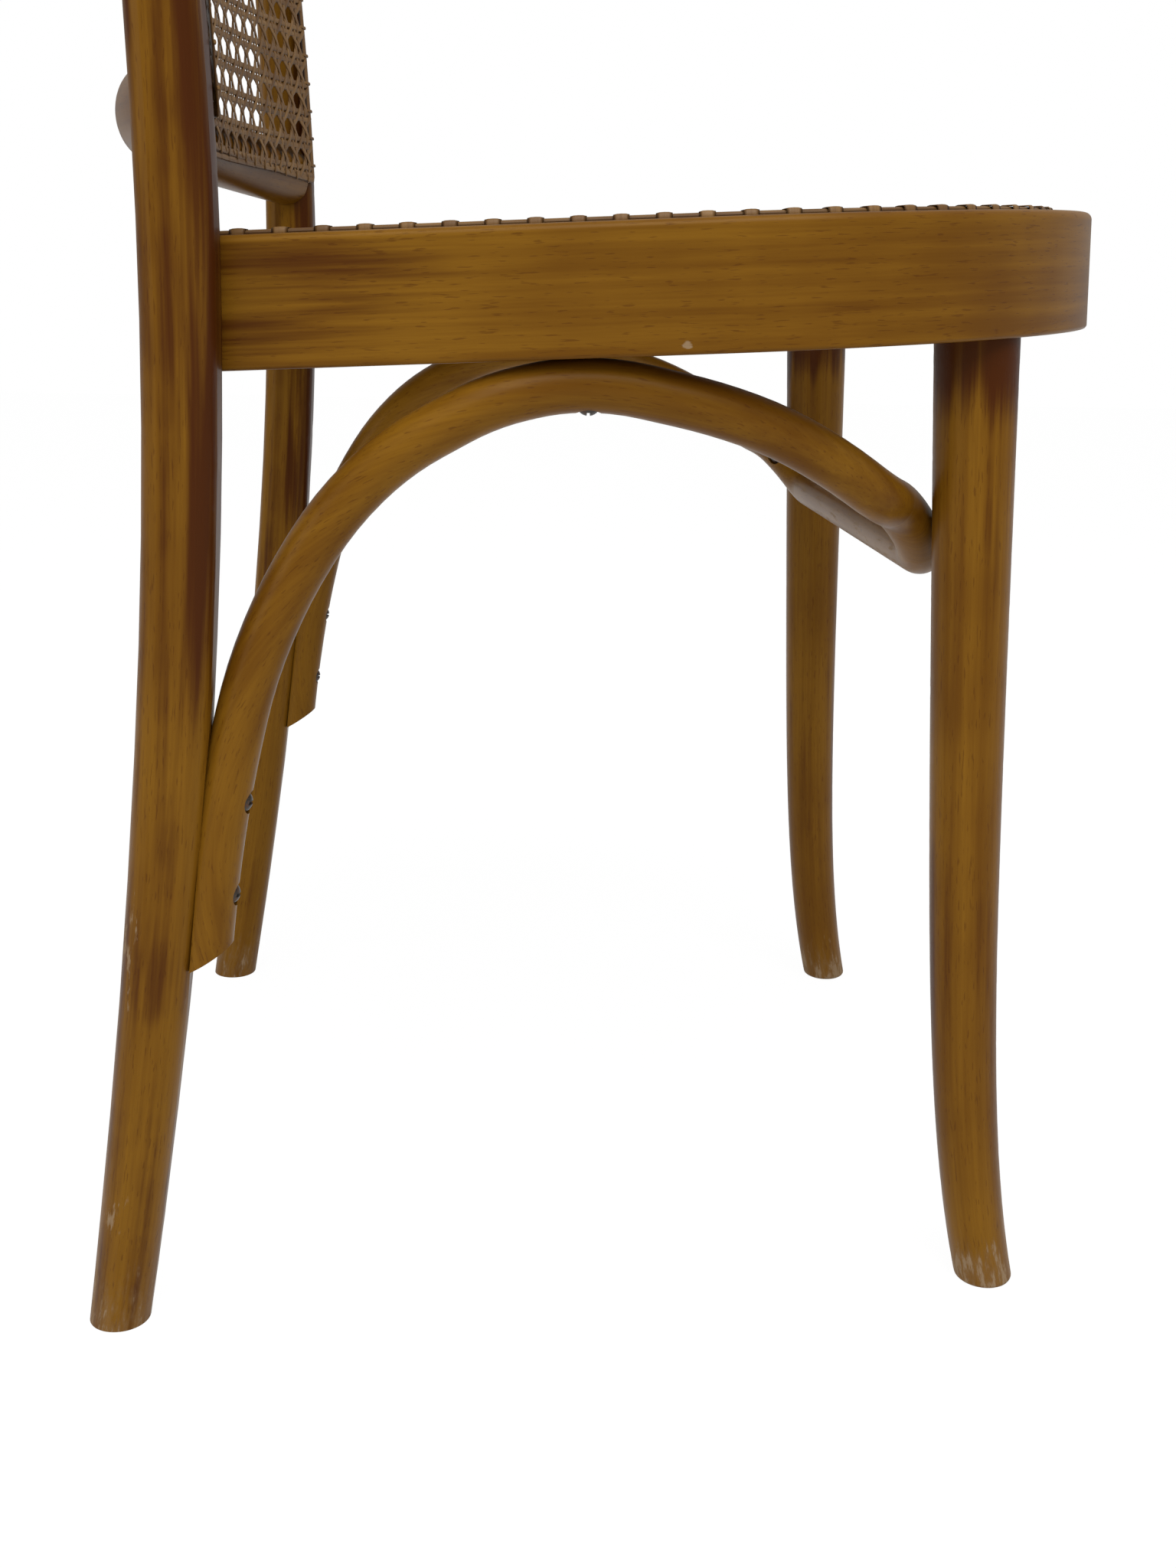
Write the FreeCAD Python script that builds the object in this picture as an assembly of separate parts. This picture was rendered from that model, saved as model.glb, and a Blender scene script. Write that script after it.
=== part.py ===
import FreeCAD, Part
import math
import os

# Bentwood chair with a caned seat and a caned back, in millimetres.
# The front of the chair faces -Y, up is +Z, the floor is Z = 0.
# The sitter's right-hand side is -X and the left-hand side is +X.

V = FreeCAD.Vector
UP = V(0, 0, 1)

# Seat ring: one bent beech band standing on edge, a rounded D in plan
seat_height = 460.0
seat_drop_slope = 0.0538
ring_height = 47.0
ring_band = 28.0
ring_front_y = -221.0
ring_half_width = 211.0
ring_corner_radius = 172.0
ring_front_turn = 20.0
ring_rear_half_width = 193.0
ring_rear_radius = 30.0
ring_rear_y = 178.0
ring_top_round = 3.0
ring_bottom_round = 1.5
ring_rear_z = seat_height - seat_drop_slope * (ring_rear_y - ring_front_y)

# Back hoop: both rear legs, both posts and the crest, bent from one rod
back_height = 375.0
hoop_height = seat_height + back_height
waist_rise = 10.0
waist_height = seat_height + waist_rise
waist_y = 158.9
foot_splay = 48.3
splay_curl = 0.364
back_lean = 33.0
lean_power = 1.75
post_foot_x = 189.7
post_seat_x = 202.0
post_top_x = 215.0
crest_corner_radius = 78.0
crest_bow = 36.5
bow_overlap = 5.6
post_foot_depth = 25.4
post_knee_depth = 28.5
post_waist_depth = 27.7
post_top_depth = 22.5
post_foot_width = 25.5
post_width = 27.0
post_knee_height = 225.0
post_foot_round = 12.5
post_knee_round = 9.0
post_round = 7.0
crest_round = 9.5
crown_turn = 10.0

# Front legs: round, tapered and kicked forward at the foot
leg_top_x = 156.6
leg_top_y = -141.2
leg_foot_x = 175.0
leg_rake = 18.8
leg_kick = 13.2
leg_foot_diameter = 25.5
leg_top_diameter = 33.5
leg_curve_share = 0.17
leg_trim = 5.0
tenon_diameter = 16.0
tenon_length = 32.0
tenon_root = 10.0
foot_edge_round = 2.0

# Brace: one bent rod from post to post, up under the ring and across behind the front legs
brace_diameter = 20.0
brace_cross_drop = 141.0
brace_cross_height = seat_height - brace_cross_drop
brace_cross_y = -135.0
brace_end_height = 162.0
brace_end_slope = 32.0
brace_leave_height = 210.0
brace_face_offset = 5.4
brace_top_y = 14.0
brace_top_flat = 11.0
brace_wrap_angle = 40.0
brace_wrap_rise = 16.0
brace_wrap_lead = V(8, 8.5, 7)
brace_wrap_follow = V(-2.2, -2, -4)
brace_bend_reach = 17.0
brace_screw_heights = (193.9, 232.3)
upper_screw_lift = 1.6

# Flat planed on the front of each post for the end of the brace
flat_inset = 0.6
flat_low_height = brace_end_height + 10.0
flat_high_height = brace_leave_height + 40.0
flat_run_below = 62.0
flat_run_above = 120.0

# The arch between post and ring: shares of its reach and of its rise, rear to top
arch_rear_shape = [(0.04, 0.16), (0.115, 0.40), (0.215, 0.58), (0.345, 0.74), (0.50, 0.86), (0.74, 0.965)]
# The arch from its top to the cross part: shares of its reach and of its fall, and its way inwards
arch_front_shape = [(0.32, 0.108, 0.045), (0.50, 0.235, 0.165), (0.665, 0.42, 0.32), (0.80, 0.61, 0.50)]

# Lower rail of the back, bowed to the rear and arched a little
rail_height = 33.0
rail_depth = 25.0
rail_set_forward = 1.0
rail_seat_gap = 34.5
rail_centre_z = ring_rear_z + rail_seat_gap + 0.5 * rail_height
rail_arch = 7.2
rail_tenon_diameter = 15.0
rail_tenon_length = 15.0
rail_tenon_root = 12.0

# Woven cane panels, their binder strips and the holes they are laced through
cane_thickness = 1.8
cane_pitch = 15.4
cane_hole_diameter = 4.2
cane_hole_lead = 2.0
cane_hole_length = 19.8
cane_line_inset = 9.0
back_line_inset = 4.5
rail_line_drop = 2.0
cane_margin = 3.4
binder_width = 5.6
binder_thickness = 1.3
mesh_pitch = 23.1
mesh_gap = 13.0
mesh_margin = 3.25
back_mesh_pitch = 33.0
back_mesh_gap = 21.0
sheet_step = 40.0
sheet_reach = 1.15

# Round-head slotted wood screws
screw_diameter = 5.0
screw_head_diameter = 9.0
screw_head_height = 3.4
screw_slot_width = 1.4
screw_slot_depth = 1.3
head_recess = 8.0
head_sink = 2.3
screw_bite = 16.0
ring_screw_bite = 15.0
seat_screw_spacing = 22.0
seat_screw_inset = 5.0
seat_screw_aim = 1.0
seat_screw_sink = 1.2

# Fits, and how far a cutting shape reaches past what it cuts
cut_past = 1.0
socket_clearance = 0.1
shank_clearance = 0.15
head_clearance = 0.4
seat_gap = 0.2
back_gap = 0.6
binder_gap = 0.1


def unit(v):
    return V(v).normalize()


def arc_edge(centre, radius, start_deg, end_deg, z=0.0):
    """Arc in a level plane, by its centre, radius and the bearing of both ends."""
    def at(deg):
        a = math.radians(deg)
        return V(centre[0] + radius * math.cos(a), centre[1] + radius * math.sin(a), z)
    middle = 0.5 * (start_deg + end_deg)
    return Part.Arc(at(start_deg), at(middle), at(end_deg)).toShape()


def line_edge(start, end):
    return Part.LineSegment(start, end).toShape()


def holed_face(wires):
    """Flat face inside the first wire, with the others as its holes."""
    return Part.makeFace(wires, "Part::FaceMakerBullseye")


# The ring's plan

def ring_outline(inset, z=0.0):
    """Closed wire at a given distance inside the ring's outer face."""
    corner_x = ring_half_width - ring_corner_radius
    turn = math.radians(ring_front_turn)
    front_radius_full = ring_corner_radius + corner_x / math.sin(turn)
    front_centre_y = ring_front_y + front_radius_full
    corner_y = front_centre_y - (front_radius_full - ring_corner_radius) * math.cos(turn)
    rear_x = ring_rear_half_width - ring_rear_radius
    rear_y = ring_rear_y - ring_rear_radius
    # the straight side is tangent to the front corner and to the rear corner
    dx = rear_x - corner_x
    dy = rear_y - corner_y
    span = math.hypot(dx, dy)
    lean = math.degrees(math.acos((ring_corner_radius - ring_rear_radius) / span))
    side = math.degrees(math.atan2(dy, dx)) - lean
    corner_r = ring_corner_radius - inset
    rear_r = ring_rear_radius - inset
    front_r = front_radius_full - inset
    half = [
        arc_edge((0, front_centre_y), front_r, -90, -90 + ring_front_turn, z),
        arc_edge((corner_x, corner_y), corner_r, -90 + ring_front_turn, side, z),
    ]
    a = math.radians(side)
    side_start = V(corner_x + corner_r * math.cos(a), corner_y + corner_r * math.sin(a), z)
    side_end = V(rear_x + rear_r * math.cos(a), rear_y + rear_r * math.sin(a), z)
    half.append(line_edge(side_start, side_end))
    half.append(arc_edge((rear_x, rear_y), rear_r, side, 90, z))
    half.append(line_edge(V(rear_x, rear_y + rear_r, z), V(0, rear_y + rear_r, z)))
    edges = half + [edge.mirror(V(0, 0, 0), V(1, 0, 0)) for edge in half]
    return Part.Wire(Part.__sortEdges__(edges))


def ring_top_z(y):
    return seat_height - seat_drop_slope * (y - ring_front_y)


def ring_bottom_z(y):
    tilt = math.atan(seat_drop_slope)
    return ring_top_z(y) - ring_height / math.cos(tilt)


def tilt_to_seat(shape):
    """Turn a shape drawn level, with the ring's top at Z = 0, into the sloping seat plane."""
    turned = shape.copy()
    turned.rotate(V(0, ring_front_y, 0), V(1, 0, 0), -math.degrees(math.atan(seat_drop_slope)))
    turned.translate(V(0, 0, seat_height))
    return turned


# The hoop's centre line and section

def post_x(z):
    """Sideways place of the post's axis, through its foot, seat and top places."""
    seat_z = ring_top_z(waist_y)
    top_z = hoop_height - crest_corner_radius
    a = (z - seat_z) * (z - top_z) / (seat_z * top_z)
    b = z * (z - top_z) / (seat_z * (seat_z - top_z))
    c = z * (z - seat_z) / (top_z * (top_z - seat_z))
    return post_foot_x * a + post_seat_x * b + post_top_x * c


def post_y(z):
    """Set-back of the post's axis: splayed below the waist, leaning above it."""
    if z < waist_height:
        u = (waist_height - z) / waist_height
        return waist_y + foot_splay * ((1 + splay_curl) * u ** 2 - splay_curl * u ** 3)
    v = (z - waist_height) / (hoop_height - waist_height)
    return waist_y + back_lean * v ** lean_power


def bow_half_width(z):
    """Where the bow of the back begins, over the round inner edge of the posts."""
    highest = hoop_height - crest_corner_radius
    return post_x(min(z, highest)) - 0.5 * post_width + bow_overlap


def free_bow(x, z):
    """Set-back of the bowed back against the posts, carried on past them to the front."""
    return crest_bow * (1.0 - (x / bow_half_width(z)) ** 2)


def back_bow(x, z):
    return max(0.0, free_bow(x, z))


def blend(z, marks):
    """Straight-line interpolation through (height, value) pairs."""
    for (z0, v0), (z1, v1) in zip(marks, marks[1:]):
        if z <= z1:
            return v0 + (v1 - v0) * max(0.0, z - z0) / (z1 - z0)
    return marks[-1][1]


def post_depth(z):
    top_z = hoop_height - 2 * crest_corner_radius
    return blend(z, [(0, post_foot_depth), (post_knee_height, post_knee_depth),
                     (waist_height, post_waist_depth), (top_z, post_top_depth)])


def post_breadth(z):
    return blend(z, [(0, post_foot_width), (post_knee_height, post_width)])


def post_corner(z):
    return blend(z, [(0, post_foot_round), (post_knee_height, post_knee_round), (waist_height, post_round),
                     (hoop_height - crest_corner_radius, crest_round)])


def crowned_section(centre, front, side, depth, breadth, corner):
    """Closed wire of eight arcs: four crowned faces and four corners.

    Each face spans twice crown_turn and each corner the rest of its quarter, so a
    square section turns into a circle as its corner radius grows to half its width.
    """
    s = math.sin(math.radians(crown_turn))
    c = math.cos(math.radians(crown_turn))
    k = 1 - c
    half_d = 0.5 * depth + corner * (s - c)
    half_b = 0.5 * breadth + corner * (s - c)
    r_front = (k * half_d - s * half_b) / (k * k - s * s)
    r_side = (k * half_b - s * half_d) / (k * k - s * s)
    a = 0.5 * depth
    b = 0.5 * breadth
    corner_a = a - r_front + (r_front - corner) * c
    corner_b = b - r_side + (r_side - corner) * c

    def place(u, w):
        return centre + front * u + side * w

    def corner_point(sign_a, sign_b, deg):
        t = math.radians(deg)
        return place(sign_a * (corner_a + corner * math.cos(t)), sign_b * (corner_b + corner * math.sin(t)))

    low, high = crown_turn, 90 - crown_turn
    quarters = [(1, 1), (-1, 1), (-1, -1), (1, -1)]
    edges = []
    for index, (sa, sb) in enumerate(quarters):
        first, last = (low, high) if sa * sb > 0 else (high, low)
        start = corner_point(sa, sb, first)
        end = corner_point(sa, sb, last)
        edges.append(Part.Arc(start, corner_point(sa, sb, 45), end).toShape())
        na, nb = quarters[(index + 1) % 4]
        next_first = low if na * nb > 0 else high
        crown = place(0, sb * b) if sb == nb else place(sa * a, 0)
        edges.append(Part.Arc(end, crown, corner_point(na, nb, next_first)).toShape())
    return Part.Wire(edges)


def hoop_half_path():
    """Centre points of the hoop's left half, foot to crest."""
    radius = crest_corner_radius - 0.5 * post_width
    crest_z = hoop_height - 0.5 * post_width
    corner_z = crest_z - radius
    points = []
    count = 15
    for i in range(count):
        z = corner_z * i / count
        points.append(V(post_x(z), post_y(z), z))
    corner_x = post_x(corner_z) - radius
    for i in range(7):
        a = math.radians(15 * i)
        x = corner_x + radius * math.cos(a)
        z = corner_z + radius * math.sin(a)
        points.append(V(x, post_y(z) + back_bow(x, z), z))
    for i in range(1, 4):
        x = corner_x * (1 - i / 3)
        points.append(V(x, post_y(crest_z) + back_bow(x, crest_z), crest_z))
    return points


def make_back_hoop():
    half = hoop_half_path()
    mirrored = [V(-p.x, p.y, p.z) for p in half[:-1]]
    points = half + mirrored[::-1]
    curve = Part.BSplineCurve()
    curve.interpolate(points)
    sections = []
    for p in points:
        t = unit(V(*curve.tangent(curve.parameter(p))[0]))
        side = unit(t.cross(V(0, 1, 0)))
        front = unit(side.cross(t))
        if p.z < 1:
            t = UP
            side = V(1, 0, 0)
            front = V(0, 1, 0)
        sections.append(crowned_section(p, front, side, post_depth(p.z), post_breadth(p.z),
                                        post_corner(p.z)))
    return Part.makeLoft(sections, True, False)


# The brace

def brace_flat_y(z):
    """The planed flat on the front of the post, where the end of the brace is screwed on."""
    low, high = flat_low_height, flat_high_height
    y_low = post_y(low) - 0.5 * post_depth(low) + flat_inset
    y_high = post_y(high) - 0.5 * post_depth(high) + flat_inset
    return y_low + (y_high - y_low) * (z - low) / (high - low)


def leg_x(z):
    u = 1 - z / ring_bottom_z(leg_top_y)
    share = (1 - leg_curve_share) * u + leg_curve_share * u * u
    return leg_top_x + (leg_foot_x - leg_top_x) * share


def leg_y(z):
    u = 1 - z / ring_bottom_z(leg_top_y)
    return leg_top_y - leg_rake * u - leg_kick * u ** 6


def leg_diameter(z):
    share = z / ring_bottom_z(leg_top_y)
    return leg_foot_diameter + (leg_top_diameter - leg_foot_diameter) * share


def ring_side_x(y):
    """Middle of the ring's band along its straight side."""
    corner_y = ring_front_y + ring_corner_radius
    share = (y - corner_y) / (ring_rear_y - ring_rear_radius - corner_y)
    outer = ring_half_width + (ring_rear_half_width - ring_half_width) * share
    return outer - 0.5 * ring_band


def brace_top_point():
    z = ring_bottom_z(brace_top_y) - 0.5 * brace_diameter - seat_gap
    return V(ring_side_x(brace_top_y), brace_top_y, z)


def brace_wrap_direction():
    """Level direction from the brace's middle to the front leg's middle, where the two are screwed."""
    a = math.radians(brace_wrap_angle)
    return V(math.sin(a), -math.cos(a), 0)


def brace_wrap_point():
    z = brace_cross_height + brace_wrap_rise
    reach = 0.5 * (leg_diameter(z) + brace_diameter) + seat_gap
    return V(leg_x(z), leg_y(z), z) - brace_wrap_direction() * reach


def brace_post_point(z):
    """Middle of the brace where it lies against the post."""
    return V(post_x(z), brace_flat_y(z) - brace_face_offset, z)


def brace_half_points():
    """Middle line of the left half of the brace, from below its end at the post to the cross part."""
    lowest = brace_end_height - 1.25 * brace_diameter
    straight_end = brace_leave_height - 0.6 * brace_diameter
    points = [brace_post_point(lowest), brace_post_point(straight_end)]
    start = brace_post_point(brace_leave_height)
    top = brace_top_point()
    for reach, rise in arch_rear_shape:
        points.append(V(start.x + (top.x - start.x) * reach, start.y + (top.y - start.y) * reach,
                        start.z + (top.z - start.z) * rise))
    points.append(top + V(0, brace_top_flat, 0))
    points.append(top - V(0, brace_top_flat, 0))
    wrap = brace_wrap_point()
    for reach, fall, inward in arch_front_shape:
        points.append(V(top.x + (wrap.x - top.x) * inward, top.y + (brace_cross_y - top.y) * reach,
                        top.z + (brace_cross_height - top.z) * fall))
    points.append(wrap + brace_wrap_lead)
    points.append(wrap + brace_wrap_follow)
    points.append(V(wrap.x - brace_bend_reach, brace_cross_y, brace_cross_height))
    return points


def rounded_path(points, share=0.48):
    """Straight runs joined by tangent arcs, each as large as its two runs allow."""
    edges = []
    start = points[0]
    for before, corner, after in zip(points, points[1:], points[2:]):
        back = unit(before - corner)
        ahead = unit(after - corner)
        reach = share * min((before - corner).Length, (after - corner).Length)
        first = corner + back * reach
        last = corner + ahead * reach
        half = 0.5 * back.getAngle(ahead)
        radius = reach * math.tan(half)
        bisector = unit(back + ahead)
        middle = corner + bisector * (radius / math.sin(half) - radius)
        edges.append(line_edge(start, first))
        edges.append(Part.Arc(first, middle, last).toShape())
        start = last
    edges.append(line_edge(start, points[-1]))
    return Part.Wire(edges)


def brace_path():
    half = brace_half_points()
    return rounded_path(half + [V(-p.x, p.y, p.z) for p in half[::-1]])


def mirror_pair(shape):
    """The shape on the left-hand side and its mirror image on the right-hand side."""
    return [shape, shape.mirror(V(0, 0, 0), V(1, 0, 0))]


def behind_flat(ahead=False):
    """Block behind the planed flat, or in front of it, on the left-hand post."""
    low = brace_end_height - flat_run_below
    high = brace_leave_height + flat_run_above
    depth = -2 * brace_diameter if ahead else 3 * brace_diameter
    width = 2.5 * brace_diameter
    x = post_x(brace_leave_height) - 0.5 * width
    corners = [V(x, brace_flat_y(low), low), V(x, brace_flat_y(high), high),
               V(x, brace_flat_y(high) + depth, high), V(x, brace_flat_y(low) + depth, low)]
    wire = Part.makePolygon(corners + corners[:1])
    return Part.Face(wire).extrude(V(width, 0, 0))


def screw_places():
    """Seat of the head, direction and length of each screw through the brace's left half."""
    low, high = flat_low_height, flat_high_height
    along = unit(V(0, brace_flat_y(high) - brace_flat_y(low), high - low))
    inwards = unit(V(1, 0, 0).cross(along)) * -1
    reach = 0.5 * brace_diameter - head_sink
    ends = []
    for z in brace_screw_heights:
        middle = brace_post_point(z)
        if z > brace_leave_height:
            middle = middle - inwards * upper_screw_lift
        ends.append((middle - inwards * reach, inwards, reach + brace_face_offset + screw_bite))
    top = brace_top_point()
    arch = [(top - V(0, 0, reach), V(0, 0, 1), reach + 0.5 * brace_diameter + ring_screw_bite)]
    direction = brace_wrap_direction()
    wrap = brace_wrap_point()
    wrap_screw = [(wrap - direction * reach, direction, reach + 0.5 * brace_diameter + screw_bite)]
    return {"brace_end_screws": ends, "brace_arch_screws": arch, "brace_leg_screws": wrap_screw}


def seat_screw_places():
    """Screws driven from inside the ring's rear corners into the posts."""
    inner_x = ring_rear_half_width - ring_band
    y = ring_rear_y - ring_rear_radius - seat_screw_inset
    places = []
    for offset in (-0.5 * seat_screw_spacing, 0.5 * seat_screw_spacing):
        z = 0.5 * (ring_top_z(y) + ring_bottom_z(y)) + offset
        target = V(post_x(z), post_y(z) - seat_screw_aim, z)
        seat = V(inner_x + seat_screw_sink, y, z)
        direction = unit(V(target.x - seat.x, target.y - seat.y, 0))
        places.append((seat, direction, ring_band + screw_bite))
    return places


def screw(seat, direction, length):
    """Round-head slotted screw whose head rests at the seat point."""
    radius = 0.5 * screw_head_diameter
    shank = Part.makeCylinder(0.5 * screw_diameter, length, seat, direction)
    ball = 0.5 * (radius ** 2 + screw_head_height ** 2) / screw_head_height
    sphere = Part.makeSphere(ball, seat - direction * (screw_head_height - ball))
    crown = seat - direction * screw_head_height
    disc = Part.makeCylinder(radius + cut_past, screw_head_height, crown, direction)
    head = sphere.common(disc)
    side = V(1, 0, 0) if direction.isParallel(UP, 0.1) else unit(direction.cross(UP))
    slot = Part.makeBox(2 * (radius + cut_past), screw_slot_width, screw_slot_depth + cut_past)
    slot.translate(V(-radius - cut_past, -0.5 * screw_slot_width, -cut_past))
    turn = FreeCAD.Rotation(side, side.cross(direction), direction, "ZXY")
    slot.Placement = FreeCAD.Placement(crown, turn).multiply(slot.Placement)
    return head.cut(slot).fuse(shank).removeSplitter()


def screw_hole(seat, direction, length):
    """Shank hole with clearance and a shallow counterbore for the head."""
    shank = Part.makeCylinder(0.5 * screw_diameter + shank_clearance, length + cut_past, seat, direction)
    radius = 0.5 * screw_head_diameter + head_clearance
    recess = Part.makeCylinder(radius, head_recess, seat - direction * head_recess, direction)
    return shank.fuse(recess)


def all_screw_holes():
    holes = []
    for places in screw_places().values():
        for place in places:
            holes += mirror_pair(screw_hole(*place))
    for place in seat_screw_places():
        holes += mirror_pair(screw_hole(*place))
    return Part.makeCompound(holes)


def make_brace():
    path = brace_path()
    start = path.Edges[0].valueAt(path.Edges[0].FirstParameter)
    along = path.Edges[0].tangentAt(path.Edges[0].FirstParameter)
    ring = Part.Wire([Part.Circle(start, along, 0.5 * brace_diameter).toShape()])
    rod = path.makePipeShell([ring], True, False)
    for block in mirror_pair(behind_flat()):
        rod = rod.cut(block)
    for block in mirror_pair(brace_end_cutter()):
        rod = rod.cut(block)
    return rod


def brace_end_cutter():
    """Block below the slanting cut at the brace's end, lowest against the post."""
    slope = math.radians(brace_end_slope)
    y = brace_flat_y(brace_end_height)
    block = Part.makeBox(60, 80, 60, V(post_x(brace_end_height) - 30, -60, -60))
    block.rotate(V(0, 0, 0), V(1, 0, 0), -math.degrees(slope))
    block.translate(V(0, y, brace_end_height))
    return block


# The seat

def make_ring_blank():
    outer = ring_outline(0.0)
    inner = ring_outline(ring_band)
    return holed_face([outer, inner]).extrude(V(0, 0, -ring_height))


def caning_holes():
    """Slanting holes from the ring's top to its inner face, one for each strand end."""
    line = ring_outline(ring_band - cane_line_inset)
    count = 2 * round(0.5 * line.Length / cane_pitch)
    holes = []
    for p in line.discretize(Number=count + 1)[:-1]:
        direction = unit(unit(V(-p.x, -p.y, 0)) - UP)
        start = p - direction * cane_hole_lead
        holes.append(Part.makeCylinder(0.5 * cane_hole_diameter, cane_hole_length, start, direction))
    return Part.makeCompound(holes)


def make_ring():
    blank = make_ring_blank()
    top = [e for e in blank.Edges if e.BoundBox.ZMin > -0.01]
    body = blank.makeFillet(ring_top_round, top)
    bottom = [e for e in body.Edges if e.BoundBox.ZMax < 0.01 - ring_height]
    body = body.makeFillet(ring_bottom_round, bottom)
    body = body.cut(caning_holes())
    body = tilt_to_seat(body)
    return body.cut(tenon_sockets())


def tenon_sockets():
    radius = 0.5 * tenon_diameter + socket_clearance
    root = V(leg_top_x, leg_top_y, ring_bottom_z(leg_top_y) - tenon_root)
    socket = Part.makeCylinder(radius, tenon_root + tenon_length + cut_past, root)
    return Part.makeCompound(mirror_pair(socket))


def make_front_leg():
    top = ring_bottom_z(leg_top_y)
    reach = 2 * leg_top_diameter
    highest = top + 0.5 * leg_top_diameter * seat_drop_slope + leg_trim
    circles = []
    count = 12
    for i in range(count + 1):
        z = highest * i / count
        circle = Part.Circle(V(leg_x(z), leg_y(z), z), UP, 0.5 * leg_diameter(z))
        circles.append(Part.Wire([circle.toShape()]))
    leg = Part.makeLoft(circles, True, False)
    above = Part.makeBox(2 * reach, 2 * reach, reach, V(leg_top_x - reach, leg_top_y - reach, -ring_height))
    leg = leg.cut(tilt_to_seat(above))
    foot = [e for e in leg.Edges if e.BoundBox.ZMax < 0.01]
    leg = leg.makeFillet(foot_edge_round, foot)
    root = V(leg_top_x, leg_top_y, top - tenon_root)
    tenon = Part.makeCylinder(0.5 * tenon_diameter, tenon_root + tenon_length, root)
    return leg.fuse(tenon).removeSplitter()


def seat_mesh_gaps():
    """Square-set gaps of the cane mesh that lie clear of the ring's inner edge."""
    room = Part.Face(ring_outline(ring_band + 0.5 * mesh_gap + mesh_margin))
    rings = []
    columns = int(ring_half_width / mesh_pitch) + 1
    rows = int((ring_rear_y - ring_front_y) / mesh_pitch) + 1
    for i in range(-columns, columns + 1):
        for j in range(rows):
            p = V(i * mesh_pitch, ring_front_y + (j + 0.5) * mesh_pitch, 0)
            if room.isInside(p, 0.01, True):
                rings.append(Part.Wire([Part.Circle(p, UP, 0.5 * mesh_gap).toShape()]))
    return rings


def make_seat_cane():
    edge = ring_outline(ring_band - cane_line_inset - cane_margin)
    face = holed_face([edge] + seat_mesh_gaps())
    return tilt_to_seat(face.extrude(V(0, 0, cane_thickness)))


def make_seat_binder():
    inset = ring_band - cane_line_inset
    outer = ring_outline(inset - 0.5 * binder_width, cane_thickness)
    inner = ring_outline(inset + 0.5 * binder_width, cane_thickness)
    return tilt_to_seat(holed_face([outer, inner]).extrude(V(0, 0, binder_thickness)))


# The back

def rail_z(x):
    return rail_centre_z - rail_arch * (x / post_seat_x) ** 2


def rail_y(x):
    return post_y(rail_centre_z) + back_bow(x, rail_centre_z) - rail_set_forward


def rail_end_x():
    z = rail_z(post_seat_x)
    return post_x(z) - 0.5 * post_width


def make_rail(hoop):
    """Elliptical rail, carried into both posts, cut back to their faces and given its tenons."""
    end = rail_end_x() + 0.15 * post_width
    sections = []
    count = 12
    for i in range(count + 1):
        x = end * (2 * i / count - 1)
        slope_y = 0.5 * (rail_y(x + 1) - rail_y(x - 1))
        along = unit(V(1, slope_y, 0))
        shape = Part.Ellipse(V(0, 0, 0), 0.5 * rail_height, 0.5 * rail_depth).toShape()
        turn = FreeCAD.Rotation(UP, along.cross(UP), along, "ZXY")
        shape.Placement = FreeCAD.Placement(V(x, rail_y(x), rail_z(x)), turn)
        sections.append(Part.Wire([shape]))
    rail = Part.makeLoft(sections, True, False).cut(hoop)
    rail = max(rail.Solids, key=lambda solid: solid.Volume)
    for tenon in mirror_pair(rail_tenon(0.0)):
        rail = rail.fuse(tenon)
    return rail.removeSplitter()


def rail_tenon(clearance):
    x = rail_end_x()
    length = rail_tenon_root + rail_tenon_length + clearance
    root = V(x - rail_tenon_root, rail_y(x), rail_z(x))
    return Part.makeCylinder(0.5 * rail_tenon_diameter + clearance, length, root, V(1, 0, 0))


def back_sheet(offset, thickness):
    """Curved slab whose rear face lies at an offset in front of the posts, rail and crest."""
    columns = int(sheet_reach * post_top_x / sheet_step) + 1
    rows = int((hoop_height - rail_centre_z) / sheet_step) + 3
    grid = []
    for i in range(-columns, columns + 1):
        column = []
        for j in range(rows):
            x = i * sheet_step
            z = rail_centre_z + (j - 1) * sheet_step
            column.append(V(x, sheet_y(x, z) - 0.5 * post_depth(z) - offset, z))
        grid.append(column)
    surface = Part.BSplineSurface()
    surface.interpolate(grid)
    return surface.toShape().extrude(V(0, -thickness, 0))


def sheet_y(x, z):
    return post_y(z) + free_bow(x, z)


def back_line():
    """Distance of the line of holes from the middle line of the posts."""
    return 0.5 * post_width - back_line_inset


def back_outline(inset):
    """Closed wire in the XZ plane, inside the middle line of the posts and crest, along the lower rail."""
    radius = crest_corner_radius - 0.5 * post_width
    crest_z = hoop_height - 0.5 * post_width
    corner_z = crest_z - radius
    corner_x = post_x(corner_z) - radius
    lift = inset - back_line() - rail_line_drop
    low = rail_z(post_x(rail_centre_z) - inset) + lift
    side = []
    for i in range(6):
        z = low + (corner_z - low) * i / 6
        side.append(V(post_x(z) - inset, 0, z))
    corner = V(corner_x, 0, corner_z)
    for i in range(7):
        a = math.radians(15 * i)
        side.append(corner + V(math.cos(a), 0, math.sin(a)) * (radius - inset))
    crest = [V(0.5 * corner_x * k, 0, crest_z - inset) for k in (1, 0, -1)]
    mirrored = [V(-p.x, 0, p.z) for p in side[::-1]]
    over = Part.BSplineCurve()
    over.interpolate(side + crest + mirrored)
    under = Part.Arc(mirrored[-1], V(0, 0, rail_z(0) + lift), side[0])
    return Part.Wire([over.toShape(), under.toShape()])


def back_prism(inset):
    return Part.Face(back_outline(inset)).extrude(V(0, 2 * post_foot_y(), 0))


def post_foot_y():
    return waist_y + foot_splay


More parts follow.
